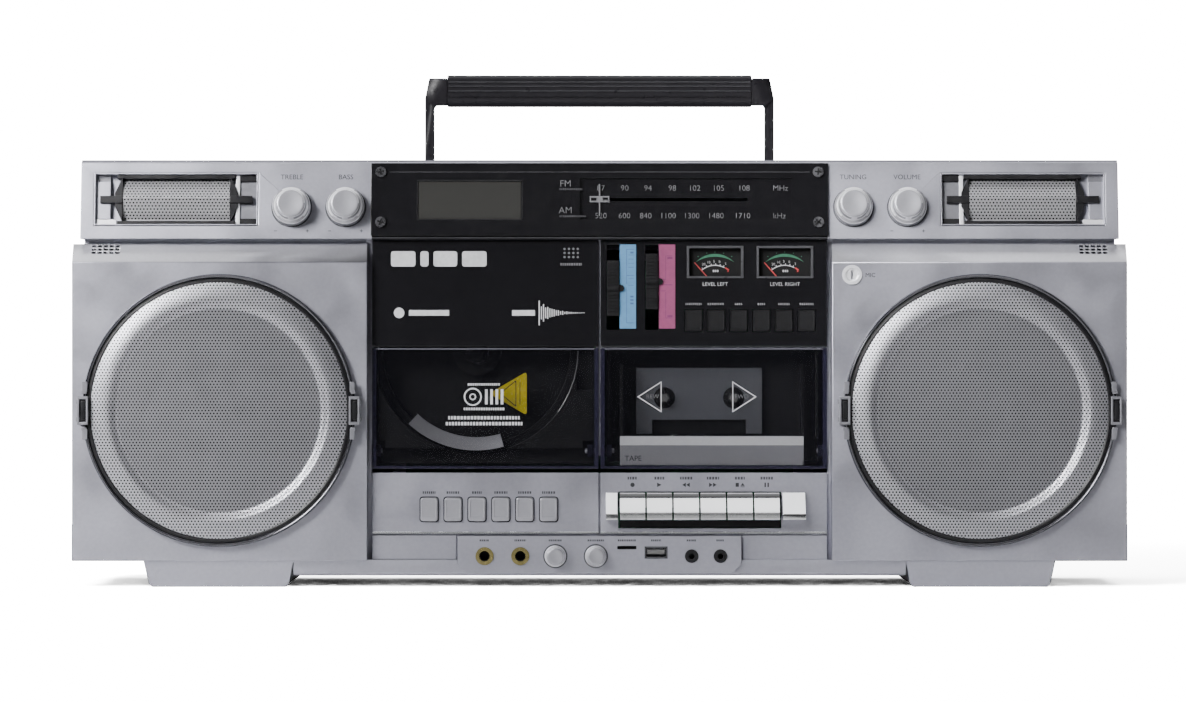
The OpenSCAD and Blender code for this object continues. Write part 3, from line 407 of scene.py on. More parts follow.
def add_lathe(bm, profile, steps=72, centre=(0, 0, 0), start=0.0, sweep=360.0):
    """Profile of (radius, height) turned about a line along -Y through a centre."""
    count = steps if abs(sweep - 360.0) < 0.01 else steps + 1
    rings = []
    for i in range(count):
        a = radians(start + sweep * i / steps)
        rings.append([bm.verts.new((centre[0] + r * cos(a), centre[1] - h,
                                    centre[2] + r * sin(a))) for r, h in profile])
    for i in range(steps):
        near, far = rings[i], rings[(i + 1) % count]
        for k in range(len(profile) - 1):
            if profile[k][0] < 1e-6 and profile[k + 1][0] < 1e-6:
                continue
            bm.faces.new((near[k], far[k], far[k + 1], near[k + 1]))
    bmesh.ops.remove_doubles(bm, verts=bm.verts, dist=1e-5)


def add_moved(bm, part, place):
    """Adds another bmesh, moved to its place, and frees it."""
    bmesh.ops.transform(part, matrix=place, verts=part.verts)
    mesh = bpy.data.meshes.new("moved")
    part.to_mesh(mesh)
    part.free()
    bm.from_mesh(mesh)
    bpy.data.meshes.remove(mesh)


def add_bearing(bm, bore, radius, length, x, y, z):
    """Short tube along X that starts at a point."""
    tube = bmesh.new()
    add_lathe(tube, [(bore, 0), (radius, 0), (radius, length), (bore, length), (bore, 0)], 32)
    add_moved(bm, tube, upright(x, y, z) @ Matrix.Rotation(pi / 2, 4, "Z"))


def dish(bm, sheet, pitch, hole, reach, inside, thickness):
    """Perforated sheet: hexagon cells with a hole in each, put at sheet(x, z, back)."""
    corners, verts, faces = {}, [], []

    def put(x, z, back=0.0):
        key = (round(x * 200), round(z * 200), back)
        if key not in corners:
            corners[key] = len(verts)
            verts.append(sheet(x, z, back))
        return corners[key]

    ring = [polar(1, 60 * k + 30) for k in range(6)]
    row = pitch * sqrt(3) / 2
    cell = pitch / sqrt(3)
    for j in range(-int(reach[1] / row) - 1, int(reach[1] / row) + 2):
        for i in range(-int(reach[0] / pitch) - 1, int(reach[0] / pitch) + 2):
            cx, cz = (i + (j % 2) / 2) * pitch, j * row
            if not inside(cx, cz):
                continue
            outer = [put(cx + c * cell, cz + s * cell) for c, s in ring]
            rim = [put(cx + c * hole, cz + s * hole) for c, s in ring]
            deep = [put(cx + c * hole, cz + s * hole, thickness) for c, s in ring]
            for k in range(6):
                n = (k + 1) % 6
                faces.append((outer[k], outer[n], rim[n], rim[k]))
                faces.append((rim[k], rim[n], deep[n], deep[k]))
    mesh = bpy.data.meshes.new("sheet")
    mesh.from_pydata(verts, [], faces)
    bm.from_mesh(mesh)
    bpy.data.meshes.remove(mesh)


# ---- pieces

def finish_piece(name, bm, mats, body="cabinet", place=None, replaces=(), slot=None, angle=34,
                 pick=None):
    """Turns a bmesh into a shaded piece that rides on a body; pick chooses each face's finish."""
    if place is not None:
        bmesh.ops.transform(bm, matrix=place, verts=bm.verts)
    bmesh.ops.transform(bm, matrix=Matrix.Scale(MM, 4), verts=bm.verts)
    if pick is not None:
        for face in bm.faces:
            face.material_index = pick(face.calc_center_median() / MM, face.normal)
    mesh = bpy.data.meshes.new(name)
    bm.to_mesh(mesh)
    bm.free()
    for mat in mats if isinstance(mats, list) else [mats]:
        mesh.materials.append(mat)
    for poly in mesh.polygons:
        poly.use_smooth = True
    mesh.set_sharp_from_angle(angle=radians(angle))
    obj = bpy.data.objects.new(name, mesh)
    bpy.context.collection.objects.link(obj)
    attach(obj, body)
    if replaces:
        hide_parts(*replaces)
    even = obj.modifiers.new("even", "WEIGHTED_NORMAL")
    even.keep_sharp = True
    even.weight = 100


def piece(name, mats, *parts, **extra):
    """Piece made of solids, each given as its function and that function's values."""
    bm = bmesh.new()
    for add, *values in parts:
        add(bm, *values)
    bmesh.ops.recalc_face_normals(bm, faces=bm.faces)
    finish_piece(name, bm, mats, **extra)


def flat_marks(name, blocks, mat, place, body="cabinet", lift=0.06):
    """Flat marks, printed or painted shade: each block is (x0, x1, z0, z1) or a list of points."""
    outlines = [b if isinstance(b, list) else [(b[0], b[2]), (b[1], b[2]), (b[1], b[3]),
                                               (b[0], b[3])] for b in blocks]
    piece(name, mat, *((add_prism, o, (-lift, 0.05 - lift)) for o in outlines), body=body,
          place=place)


def numbers(name, items, mat, place, body="cabinet", thin=0.02):
    """Printed numbers and words: (words, x, z, height) for each, centred."""
    bm = bmesh.new()
    for words, x, z, height in items:
        curve = bpy.data.curves.new(name, "FONT")
        curve.body = words
        curve.size = height * 1.38
        curve.align_x = "CENTER"
        curve.align_y = "CENTER"
        curve.resolution_u = 3
        curve.offset = -thin * height
        text = bpy.data.objects.new(name, curve)
        bpy.context.collection.objects.link(text)
        bpy.context.view_layer.update()
        shown = text.evaluated_get(bpy.context.evaluated_depsgraph_get())
        mesh = bpy.data.meshes.new_from_object(shown)
        mesh.transform(Matrix.Translation((x, -0.06, z)) @ Matrix.Rotation(pi / 2, 4, "X"))
        bm.from_mesh(mesh)
        bpy.data.meshes.remove(mesh)
        bpy.data.objects.remove(text)
        bpy.data.curves.remove(curve)
    finish_piece(name, bm, mat, body, place)


def drawn_area(bm):
    """Area of a mesh as it is drawn, over the area of its faces: above 1 where a face folds."""
    mesh = bpy.data.meshes.new("area")
    bm.to_mesh(mesh)
    mesh.calc_loop_triangles()
    ratio = sum(t.area for t in mesh.loop_triangles) / sum(p.area for p in mesh.polygons)
    bpy.data.meshes.remove(mesh)
    return ratio


def rounded(source, width, segments, join):
    """Copy of a CAD mesh with its long sharp edges rounded, its flat faces joined or not."""
    bm = source.copy()
    if join:
        bmesh.ops.dissolve_limit(bm, angle_limit=radians(0.6), verts=bm.verts,
                                 edges=bm.edges)
    sharp = [e for e in bm.edges
             if len(e.link_faces) == 2 and e.calc_face_angle() > radians(30)]
    tight = {v for e in sharp if e.calc_length() < max(1.0, 2.5 * width) for v in e.verts}
    edges = [e for e in sharp if e.verts[0] not in tight and e.verts[1] not in tight]
    if edges:
        bmesh.ops.bevel(bm, geom=edges, offset=width, segments=segments, affect="EDGES",
                        profile=0.5, clamp_overlap=False, loop_slide=True, miter_outer="ARC")
    return bm


FOLD_LIMIT = 1.0003
SLOTS = {part["node"]: part["material_slot"] for part in frame["record"]["subparts"]}


def refine(node, mats, width=0.35, segments=2, pick=None):
    """A CAD node's shape with its long sharp edges rounded and its flat faces shaded flat."""
    source = bmesh.new()
    source.from_mesh(frame["nodes"][node].data)
    bmesh.ops.remove_doubles(source, verts=source.verts, dist=1e-6)
    bmesh.ops.transform(source, matrix=Matrix.Scale(1 / MM, 4), verts=source.verts)
    bm = rounded(source, width, segments, True)
    if drawn_area(bm) > FOLD_LIMIT:
        plain = rounded(source, width, segments, False)
        if drawn_area(plain) < drawn_area(bm):
            bm, plain = plain, bm
        plain.free()
    source.free()
    finish_piece(node + "_shell", bm, mats, frame["nodes"][node]["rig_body"],
                 replaces=(node,), slot=SLOTS[node], pick=pick)


# ---- cabinet shells

# the bevel that leads in under the fascia faces up and is painted brighter than the fronts of the
# speaker boxes: a painted highlight
refine("front_cabinet", [silver, silver_painted_highlight], 0.5,
       pick=lambda c, n: int(200 < c.z < 215 and abs(c.x) > 141 and n.y < -0.3 and n.z > 0.1))
refine("rear_cabinet", silver, 0.6)
refine("battery_cover", silver, 0.35)
refine("power_inlet", [deep_black, steel], 0.3,
       pick=lambda c, n: int(abs(abs(c.x - 163) - 4.3) < 1.3 and abs(c.z - 49) < 1.3))
refine("circuit_boards", [board_green, iron, satin_black], 0.2,
       pick=lambda c, n: 1 if c.y > 5 else (2 if c.y > -7.85 or c.y < -12 else 0))
refine("speaker_drivers", [cone_black, steel], 0.3,
       pick=lambda c, n: int(c.y > FRONT + 6 and n.y > 0.2))
refine("screws", steel, 0.12)
refine("built_in_mic", pale_silver, 0.2)

# ---- speakers

ring_lo, ring_hi = span("speaker_rings")
SPEAKER_Z = (ring_lo.z + ring_hi.z) / 2
RING_R = (ring_hi.z - ring_lo.z) / 2
SPEAKER_X = ring_hi.x - RING_R - 2.9
MESH_R = RING_R - 4.9
FLAT_R = 62.0
# where the grille stands highest: 0 at its flat middle, 1 at its outer edge
CREST = 0.34


def mesh_height(r):
    """How far the grille stands in front of the cabinet at radius r."""
    t = min(1.0, max(0.0, (r - FLAT_R) / (MESH_R - FLAT_R)))
    if t < CREST:
        return 2.9 + 2.3 * (0.5 - 0.5 * cos(pi * t / CREST))
    return 2.9 + 2.3 * cos(pi / 2 * (t - CREST) / (1 - CREST))


def grille(side, word, place):
    """Perforated metal over black cloth, its flat middle darkened as painted shade."""
    def sheet(x, z, back):
        r = hypot(x, z)
        pull = min(1.0, (MESH_R + 0.8) / r) if r else 1.0
        return (x * pull, -mesh_height(r) + back, z * pull)

    bm = bmesh.new()
    dish(bm, sheet, 2.05, 0.62, (MESH_R + 2, MESH_R + 2),
         lambda x, z: hypot(x, z) < MESH_R + 0.3, 0.5)
    finish_piece("grille_" + word, bm, [mesh_metal, mesh_painted_shade], place=place,
                 replaces=("speaker_grilles",), slot="perforated_metal", angle=60,
                 pick=lambda c, n: int(hypot(c.x - side * SPEAKER_X, c.z - SPEAKER_Z)
                                       < FLAT_R))
    piece("grille_cloth_" + word, cloth_black,
          (add_lathe, [(0, 1.2), (FLAT_R, 1.2), (MESH_R - 3, 2.6), (MESH_R + 0.5, 0.5),
                       (MESH_R + 0.5, 0.1)], 96), place=place, slot="perforated_metal")


def trim_ring(side, word, place):
    """Black groove and dark plated outer band, with two toggle clips."""
    inner = ((-0.2, 0), (-0.2, 3.0), (0.5, 3.4), (2.0, 3.1), (2.3, 2.0), (2.6, 2.0), (2.6, 0))
    outer = ((2.4, 0), (2.4, 3.8), (2.9, 4.6), (3.6, 4.9), (4.3, 4.5), (4.85, 3.2), (4.9, 0))
    piece("ring_inner_" + word, satin_black,
          (add_lathe, [(MESH_R + r, h) for r, h in inner], 144), place=place, angle=40,
          slot="dark_chrome")
    piece("ring_outer_" + word, dark_chrome,
          (add_lathe, [(MESH_R + r, h) for r, h in outer], 144), place=place, angle=40,
          replaces=("speaker_rings",), slot="dark_chrome")
    for end in (-1, 1):
        x = end * (RING_R - 0.6)
        knuckle = x + end * 3.0
        boxes = [((x + x0, -6.9, z0), (x + x1, -5.2, z1), 0.5) for x0, x1, z0, z1 in
                 ((-3.4, 3.4, 6.9, 8.7), (-3.4, 3.4, -8.7, -6.9), (-3.4, -2.0, -8.0, 8.0),
                  (2.0, 3.4, -8.0, 8.0))]
        boxes += [((knuckle - 1.2, -6.2, z - 1.4), (knuckle + 1.2, -3.4, z + 1.4), 0.5)
                  for z in (-5.4, 5.4)]
        # catch plates above and below the loop
        for s in (-1, 1):
            for at, size in ((14.4, 3.2), (11.2, 1.0)):
                plate = x + (RING_R - hypot(RING_R, at)) * end
                boxes.append(((plate - 1.6, -5.7, s * at - size),
                              (plate + 1.6, -4.0, s * at + size), 0.4))
        tag = "%s_%s" % (word, "in" if end * side < 0 else "out")
        piece("clip_" + tag, mid_silver, *((add_box, *box) for box in boxes), place=place,
              slot="chrome_trim")
        piece("clip_base_" + tag, satin_black,
              (add_box, (x - 3.2, -5.6, -8.5), (x + 3.2, -0.1, 8.5), 0.5),
              (add_box, (x - 1.0, -6.3, -5.6), (x + 1.6, -5.4, 5.6), 0.4), place=place,
              slot="dark_chrome")


for side, word in SIDES:
    place = upright(side * SPEAKER_X, FRONT, SPEAKER_Z)
    grille(side, word, place)
    trim_ring(side, word, place)

# ---- tweeters

FRAME_INNER_X = 208.7
TWEETER_X = (span("tweeter_frames")[1].x + FRAME_INNER_X) / 2
TWEETER_Z = 236.9


def tweeter(side, word):
    """Creased mesh over a hollow, with bars, wings, a pale strip and two side plates."""
    place = wing(side * TWEETER_X, TWEETER_Z)
    half_w, half_h, ridge, deep = 32.7, 12.9, 0.5, 6.0

    def sheet(x, z, back):
        lean = abs(z - 1.2) / half_h
        return (max(-half_w, min(half_w, x)), ridge + (deep - ridge) * min(1, lean) + back,
                max(-half_h, min(half_h, z)))

    def part(name, mat, boxes, *more, bevel=0.25):
        """Boxes (x0, x1, y0, y1, z0, z1) with x growing outward, and other solids."""
        solids = []
        for x0, x1, y0, y1, z0, z1 in boxes:
            x0, x1 = sorted((side * x0, side * x1))
            solids.append((add_box, (x0, y0, z0), (x1, y1, z1), bevel))
        piece("tweeter_%s_%s" % (name, word), mat, *solids, *more, place=place,
              slot="black_plastic")

    bm = bmesh.new()
    dish(bm, sheet, 2.1, 0.60, (half_w + 2, half_h + 2),
         lambda x, z: abs(x) < half_w + 0.6 and abs(z) < half_h + 0.4, 0.4)
    finish_piece("tweeter_mesh_" + word, bm, tweeter_metal, place=place,
                 replaces=("tweeter_grilles",), slot="perforated_metal", angle=60)
    wings = [(add_prism, [(side * s * x, z) for x, z in
                          ((33.0, -14.0), (33.0, 14.2), (37.6, 4.2), (37.6, -4.0))], (1.6, 6.9))
             for s in (-1, 1)]
    part("bars", satin_black,
         [(-36, 36, 1.2, 7.2, 13.3, 15.5), (-36, 36, 1.2, 7.2, -15.9, -13.3),
          (33, 46.6, 0.4, 3.2, -2.2, 2.2), (-46.6, -33, 0.4, 4.6, -2.2, 2.2),
          (-49.4, -38.8, 2.6, 6.6, 11.6, 15.6), (-49.4, -38.8, 2.6, 6.6, -15.6, -11.6),
          (-50.1, -49.5, -0.1, 5, -16.4, 16.4), (-50.1, 49.9, -0.1, 5, -16.55, -16.1)],
         *wings)
    part("hollow", deep_black, [(-32.7, 32.7, 7.15, 7.6, -13.2, 13.2)], bevel=0)
    # the second pale box, at the outer foot, is the hollow's floor painted bright as a painted
    # highlight; shade_out is the same floor in painted shade
    part("strip", pale_silver, [(-38.8, -36.3, 2.8, 7.0, -15.8, 15.8),
                                (36.6, 49.4, 2.4, 6.9, -15.9, -12.2)])
    part("plate_in", mid_silver, [(-49.2, -38.9, 4.3, 6.9, -11.5, 11.5)])
    part("plate_out", silver, [(40.4, 49.3, 2.9, 6.9, -11.9, 11.4)])
    part("shade_out", mid_silver, [(40.4, 49.3, 4.4, 6.9, 11.5, 15.9)])


refine("tweeter_frames", silver, 0.2)
for side, word in SIDES:
    tweeter(side, word)

# ---- dial panel

DIAL = wing(0, DIAL_Z)
DISPLAY = wing(-79.3, 235.7)
DIAL_FACE, POCKET = -3.0, -1.0
refine("dial_panel", gloss_black, 0.35)
# thin grey line on a slight ridge of the black dial panel: a painted highlight
piece("dial_ridge_highlight", line_grey,
      (add_box, (-128.5, DIAL_FACE - 0.12, 16.6), (128.5, DIAL_FACE + 0.4, 17.0), 0.1, 1),
      place=DIAL, slot="black_gloss")
piece("scale_end", gloss_black,
      (add_box, (117.3, DIAL_FACE - 0.12, -13.4), (118.8, DIAL_FACE + 0.4, 13.4), 0.04, 1),
      place=DIAL, slot="black_gloss")


def add_recess(bm, x, z):
    """Painted shade of a dial panel screw: a black cross for its shaded drive recess and a shadow
    ring, each screw turned its own way.
    """
    drive = bmesh.new()
    for wide, tall in ((2.1, 0.5), (0.5, 2.1)):
        add_box(drive, (-wide, -4.46, -tall), (wide, -4.3, tall), 0.05, 1)
    add_lathe(drive, [(2.9, 3.0), (2.9, 3.5), (3.35, 3.35), (3.4, 3.0), (2.9, 3.0)], 32)
    add_moved(bm, drive, wing(x, z) @ Matrix.Rotation(x + z, 4, "Y"))


piece("dial_screw_recesses", deep_black,
      *((add_recess, x, z) for x in (-133.7, 133.7) for z in (222, 252.8)), slot="steel_screw")
piece("display_glass", lcd_grey, (add_box, (-31.4, -2.45, -11.7), (31.4, -1.9, 11.7), 0.4),
      place=DISPLAY, slot="black_gloss")
piece("display_frame", satin_black,
      (add_frame, (0, 0), (32.4, 12.6), (0.8, 0.8), (-3.12, -2.0), 0.15),
      place=DISPLAY, slot="black_gloss")

FM_Z, AM_Z, UNIT_H = 7.0, -10.3, 3.6
fm = zip(("87", "90", "94", "98", "102", "105", "108", "MHz"),
         (0.8, 15.4, 29.6, 44.5, 58.1, 72.7, 88.3, 110.6))
am = zip(("520", "600", "840", "1100", "1300", "1480", "1710", "kHz"),
         (0.8, 15.2, 28.2, 41.8, 56.2, 71.0, 87.3, 109.9))
fm, am = [(w, x, FM_Z, UNIT_H) for w, x in fm], [(w, x, AM_Z, UNIT_H) for w, x in am]
numbers("dial_numbers", fm[:-1] + am[:-1] + [fm[-1], am[-1]], print_dial,
        DIAL @ upright(0, POCKET, 0))
numbers("band_letters", [("FM", -20.8, 9.4, 4.2), ("AM", -20.8, -7.3, 4.2)], print_dial,
        DIAL @ upright(0, DIAL_FACE, 0))
flat_marks("band_bars", greek(-17.6, 6.1, 14, 1.2) + greek(-16.4, -10.9, 16, 1.2), line_grey,
         DIAL @ upright(0, DIAL_FACE, 0))
refine("dial_pointer", pointer_white, 0.12)

# ---- control panel

refine("control_panel", gloss_black, 0.25)
SEAM_Y = wing(0, 213).translation.y
SEAM_X = 139.2
piece("centre_seam", gloss_black,
      (add_box, (-SEAM_X, SEAM_Y - 0.5, 211.95), (SEAM_X, PANEL + 2.6, 214.3), 0.1, 1),
      slot="black_plastic")
piece("centre_seam_line", line_grey,
      (add_box, (-SEAM_X, SEAM_Y - 0.62, 212.7), (SEAM_X, SEAM_Y - 0.4, 213.5), 0.08, 1),
      slot="black_plastic")
for x, mat, word in ((17.3, label_blue, "blue"), (41.3, label_pink, "pink")):
    piece("strip_" + word, mat, (add_box, (x - 5.0, -0.15, 157.7), (x + 5.0, 0.5, 209.1), 0.12, 1),
          place=FACE, slot="black_gloss")
STRIP_FACE = upright(0, PANEL - 0.15, 0)
marks = [(16.4, 16.7, 161, 183), (16.4, 16.7, 185, 206)]
marks += [(16.4, 20.9, z, z + 0.35) for z in (161, 206, 190)]
marks += [(17.6, 20.9, z, z + 0.3) for z in (184, 188, 195, 197.5, 200, 202.5)]
marks += [(18.8, 20.8, z, z + 1.1) for z in (172.5, 174.6, 176.7, 203.6)]
flat_marks("strip_marks_blue", marks, ink_blue, STRIP_FACE, lift=0.05)
marks = [(40.3, 40.6, 164, 180), (40.3, 40.6, 188, 202)]
marks += [(40.3, 44.6, z, z + 0.3) for z in (164, 202)]
marks += [(37.2, 40.6, z, z + 0.3) for z in (180.6, 187.6)]
marks += [(41.4, 44.6, z, z + 1.3) for z in (164.6, 200.2)] + [(39.6, 44.6, 184.2, 184.7)]
flat_marks("strip_marks_pink", marks, ink_pink, STRIP_FACE, lift=0.05)

METERS = {word: joint_at("needle_%s_swing" % word) for side, word in SIDES}
BAND_R, SPOT_R, NUMBER_R = 18.6, 20.6, 14.8
refine("level_meters", [meter_grey, meter_dark], 0.25,
       pick=lambda c, n: int(PANEL + 0.6 < c.y < PANEL + 9))
for word, pivot in METERS.items():
    face = upright(pivot.x, pivot.y + 1.5, pivot.z)
    # the green band is widest in the middle of its arc
    band = [polar(BAND_R + 0.85 * sin(pi * i / 24) * edge, 50 + 80 * i / 24)
            for edge, order in ((-1, range(25)), (1, range(24, -1, -1))) for i in order]
    spots = [spot(0.3, *polar(SPOT_R, a), 8) for a in (60, 75, 90, 104, 120)]
    flat_marks("meter_band_" + word, [band] + spots, print_green, face)
    scale = [ring_band(12.2, 12.75, 62, 130, 0, 0)]
    scale += [ring_band(12.6, 13.6, a - 0.9, a + 0.9, 0, 0, 2)
              for a in (66, 76, 88, 100, 113, 126)]
    flat_marks("meter_scale_" + word, scale + greek(0.4, 9.0, 3.4, 1.3), print_white, face)
    flat_marks("meter_red_" + word, [ring_band(12.2, 13.1, 48, 60, 0, 0, 6),
                                   ring_band(11.5, 12.3, 46, 50, 0, 0, 4)], print_red, face)
    numbers("meter_numbers_" + word,
            [(t, *polar(NUMBER_R, a), 1.6)
             for t, a in (("20", 118), ("10", 105), ("5", 92), ("0", 79), ("3", 64))],
            print_white, face)
    refine("needle_" + word, print_red, 0.05, 1)

captions = []
for i, wide in enumerate((10, 10.6, 5, 4.6, 6.8, 8.4), 1):
    lo, hi = span("mode_button_%d" % i)
    captions += greek((lo.x + hi.x) / 2, 172.7, wide, 1.3)
flat_marks("control_captions", captions, print_dial, FACE)
numbers("level_words", [("LEVEL " + word.upper(), pivot.x, 184.8, 2.3)
                        for word, pivot in METERS.items()], print_white, FACE)


def push_button(node, mat, slot, proud, corner, rim):
    """Rounded button with a raised rim, a sunk field and a broad sloping lower edge."""
    lo, hi = span(node)

    def outline(inset, lift=0.0):
        return rounded_block(lo.x + inset, hi.x - inset, lo.z + inset + lift, hi.z - inset,
                             max(0.3, corner - inset * 0.6))

    piece(node + "_cap", mat,
          (add_tower, [(outline(0), hi.y), (outline(0), lo.y + proud),
                       (outline(0.15), lo.y + 0.25), (outline(rim * 0.45, rim), lo.y),
                       (outline(rim, rim * 1.3), lo.y),
                       (outline(rim + 0.3, rim * 1.3), lo.y + 0.22)]),
          body=node, replaces=(node,), slot=slot, angle=25)


for i in range(1, 7):
    push_button("mode_button_%d" % i, deep_black, "black_plastic", 0.8, 0.9, 0.7)
for side, word in SIDES:
    node = "slider_" + word
    lo, hi = span(node)
    z = (lo.z + hi.z) / 2
    refine(node, deep_black, 0.35)
    ribs = [z + i * 2.0 for i in range(-7, 8) if abs(i) > 1]
    # the pointer reads on the scale strip
    pointer = [(hi.x - 0.2, z - 2.3), (hi.x + 2.4, z - 1.7), (hi.x + 3.3, z),
               (hi.x + 2.4, z + 1.7), (hi.x - 0.2, z + 2.3)]
    piece("slider_ribs_" + word, deep_black,
          *((add_box, (lo.x + 0.5, lo.y + 0.9, rib - 0.35), (hi.x - 0.5, lo.y + 1.6, rib + 0.35),
             0.2, 1) for rib in ribs),
          (add_prism, pointer, (PANEL - 1.4, PANEL - 0.5)), body=node, slot="black_plastic")

# ---- disc door and well

DOOR_T, DOOR_W, RIM_W = 2.6, 138.4, 2.6
WINDOW_TOP = span("tape_door")[1].z
HUB = joint_at("cd_hub_spin")
HUB_AT = (HUB.x, PANEL, HUB.z)
refine("cd_well", deep_black, 0.4)
refine("cd_hub", deep_black, 0.3)


def door_window(word, gaps, **extra):
    """A door's clear sheet, its thick edges and its two hinge lugs, gaps from its sides."""
    body = word + "_door"
    lo, hi = span(body)
    hinge = joint_at(body + "_hinge")
    x1, top, back = lo.x + DOOR_W, WINDOW_TOP, PANEL + DOOR_T
    piece(body + "_window", smoke,
          (add_box, (lo.x + 2.5, PANEL + 0.2, lo.z + 1.6), (hi.x - 2.5, PANEL + 1.6, top - 0.9),
           0.2), body=body, slot="clear_smoke", **extra)
    # the window's top edge is paler than its other edges: a painted highlight where it catches
    # light
    for edge, a, b, mat in (("left", (lo.x, lo.z), (lo.x + RIM_W, top), smoke_edge),
                            ("right", (x1 - RIM_W, lo.z), (x1, top), smoke_edge),
                            ("top", (lo.x + 2.5, top - 1.0), (x1 - 2.5, top), edge_painted_highlight),
                            ("base", (lo.x + 2.5, lo.z), (x1 - 2.5, lo.z + 1.7), smoke_edge)):
        piece("%s_window_%s" % (word, edge), mat,
              (add_box, (a[0], PANEL, a[1]), (b[0], back, b[1]), 0.3), body=body,
              slot="clear_smoke")
    parts = []
    for x in (lo.x + gaps[0], hi.x - gaps[1] - 4):
        parts += [(add_box, (x, back - 0.2, hinge.z - 3.6), (x + 4, hinge.y - 1.7, hinge.z + 3.6),
                   0.3, 1), (add_bearing, 1.6, 3.7, 4, x, hinge.y, hinge.z)]
    piece(body + "_lugs", smoke_edge, *parts, body=body, slot="clear_smoke")


lo, hi = span("cd_door")
piece("cd_door_cover", gloss_black,
      (add_box, (lo.x, PANEL, WINDOW_TOP + 0.9), (hi.x, PANEL + DOOR_T, hi.z), 0.5),
      body="cd_door", replaces=("cd_door",), slot="black_gloss")
door_window("cd", (1.5, 2.9))

# plain badge blocks, finger dots, level graphic and link mark on the black cover
badge = [rounded_block(x, x + w, 195.6, 205.0, 1.6) for x, w in
         ((-127.5, 15), (-109.5, 5), (-101.5, 14.5), (-84, 15))]
flat_marks("door_badge", badge, print_white, FACE, "cd_door")
dots = [spot(0.75, -21.4 + i * 2.7, 201.4 + j * 2.5, 8) for i in range(4) for j in range(3)]
flat_marks("door_dots", dots + greek(-17.4, 197.0, 13, 1.5), print_grey, FACE, "cd_door")
MARK_Z = 167.3
wave = []
for i in range(22):
    tall = 7.5 * exp(-i / 6.0) * (0.55 + 0.45 * abs(cos(i * 1.7)))
    wave.append((-37.2 + i * 1.3, -36.5 + i * 1.3, MARK_Z - tall, MARK_Z + tall))
flat_marks("door_wave", wave + [(-53.5, -39.5, 165.6, 169.0)], print_white, FACE, "cd_door")
flat_marks("door_link_mark", [spot(3.2, -122.5, MARK_Z, 20), (-116.5, -92.0, 165.6, 169.0)],
         print_white, FACE, "cd_door")

# silver rim of the disc well, a painted highlight along its edge and the plain yellow label
piece("well_arc", silver_key,
      (add_lathe, [(60.9, -7.0), (52.8, -11.5), (52.8, -12.2), (60.9, -12.2), (60.9, -7.0)],
       40, HUB_AT, 227, 59), slot="silver_plastic", angle=20)
piece("well_rim_highlight", line_grey,
      (add_lathe, [(61.9, -3.6), (62.5, -3.3), (62.5, -4.2), (61.9, -4.2), (61.9, -3.6)],
       40, HUB_AT, -37, 37), slot="black_plastic")
LABEL = upright(-67.6, PANEL + 8.2, 118.0)
piece("yellow_label", label_yellow,
      (add_prism, rounded_triangle((0, 0), 23, 13.4, 2.4), (0, 0.5)), place=LABEL,
      slot="black_plastic")
flat_marks("yellow_label_line", rim_strips(rounded_triangle((6.2, 0), 16.6, 8.4, 1.2),
                                         rounded_triangle((7.2, 0), 16.1, 7.3, 1.0))
         + [(18.6, 19.1, -7, 7)], label_ochre, LABEL, lift=0.05)
WINDOW_FACE = upright(0, PANEL + 0.2, 0)
flat_marks("disc_mark", [ring_band(4.6, 5.5, 0, 360, -77.5, 116.0, 32),
                       ring_band(1.3, 2.1, 0, 360, -77.5, 116.0, 20)]
         + [(x, x + 1.6, 111.4, 120.6) for x in (-70.0, -66.8, -63.6, -60.4)]
         + greek(-70.5, 123.6, 20, 1.4) + greek(-70.5, 108.6, 25, 1.5)
         + greek(-70.5, 103.2, 44, 2.0) + greek(-70.5, 99.6, 47, 2.0), print_white,
         WINDOW_FACE, "cd_door")

# ---- cassette door and deck

door_window("tape", (2.9, 1.5), replaces=("tape_door",))
ARROW = WINDOW_FACE @ upright(0, 0, 116.0)
flat_marks("tape_arrows", triangle_rim(23.0, 37.9, 9.5) + triangle_rim(96.0, 81.2, 9.5),
         print_white, ARROW, "tape_door")
numbers("tape_arrow_words", [("REW", 32.4, 0.1, 2.7), ("FWD", 86.9, 0.1, 2.7)], print_dial,
        ARROW, "tape_door")

HOLDER_TOP = 92.6
LIP_Y = span("tape_holder")[0].y
refine("tape_holder", [silver, deep_black], 0.15,
       pick=lambda c, n: int(c.z > HOLDER_TOP or c.y > PANEL + 5))
# the lip's slanted top is painted pale: a painted highlight where it faces up
for name, mat, profile in (
        ("holder_lip", silver_key, ((-0.3, 74.2), (-0.3, 86.1), (0.1, 86.1), (0.1, 74.2))),
        ("holder_lip_top", pale_silver,
         ((-0.4, 86.25), (-0.05, 91.9), (0.3, 91.9), (0.1, 86.25)))):
    piece(name, mat, (add_rail, [(LIP_Y + y, z) for y, z in profile], 12.5, 124.9, 0.08),
          body="tape_door", slot="silver_plastic")
numbers("holder_word", [("TAPE", 20.6, 78.2, 3.3)], print_ink, upright(0, LIP_Y - 0.32, 0),
        "tape_door", thin=0)
refine("tape_deck", [deep_black, chrome], 0.2,
       pick=lambda c, n: int(c.y < PANEL + 17 and 30 < c.x < 90 and c.z < HOLDER_TOP))

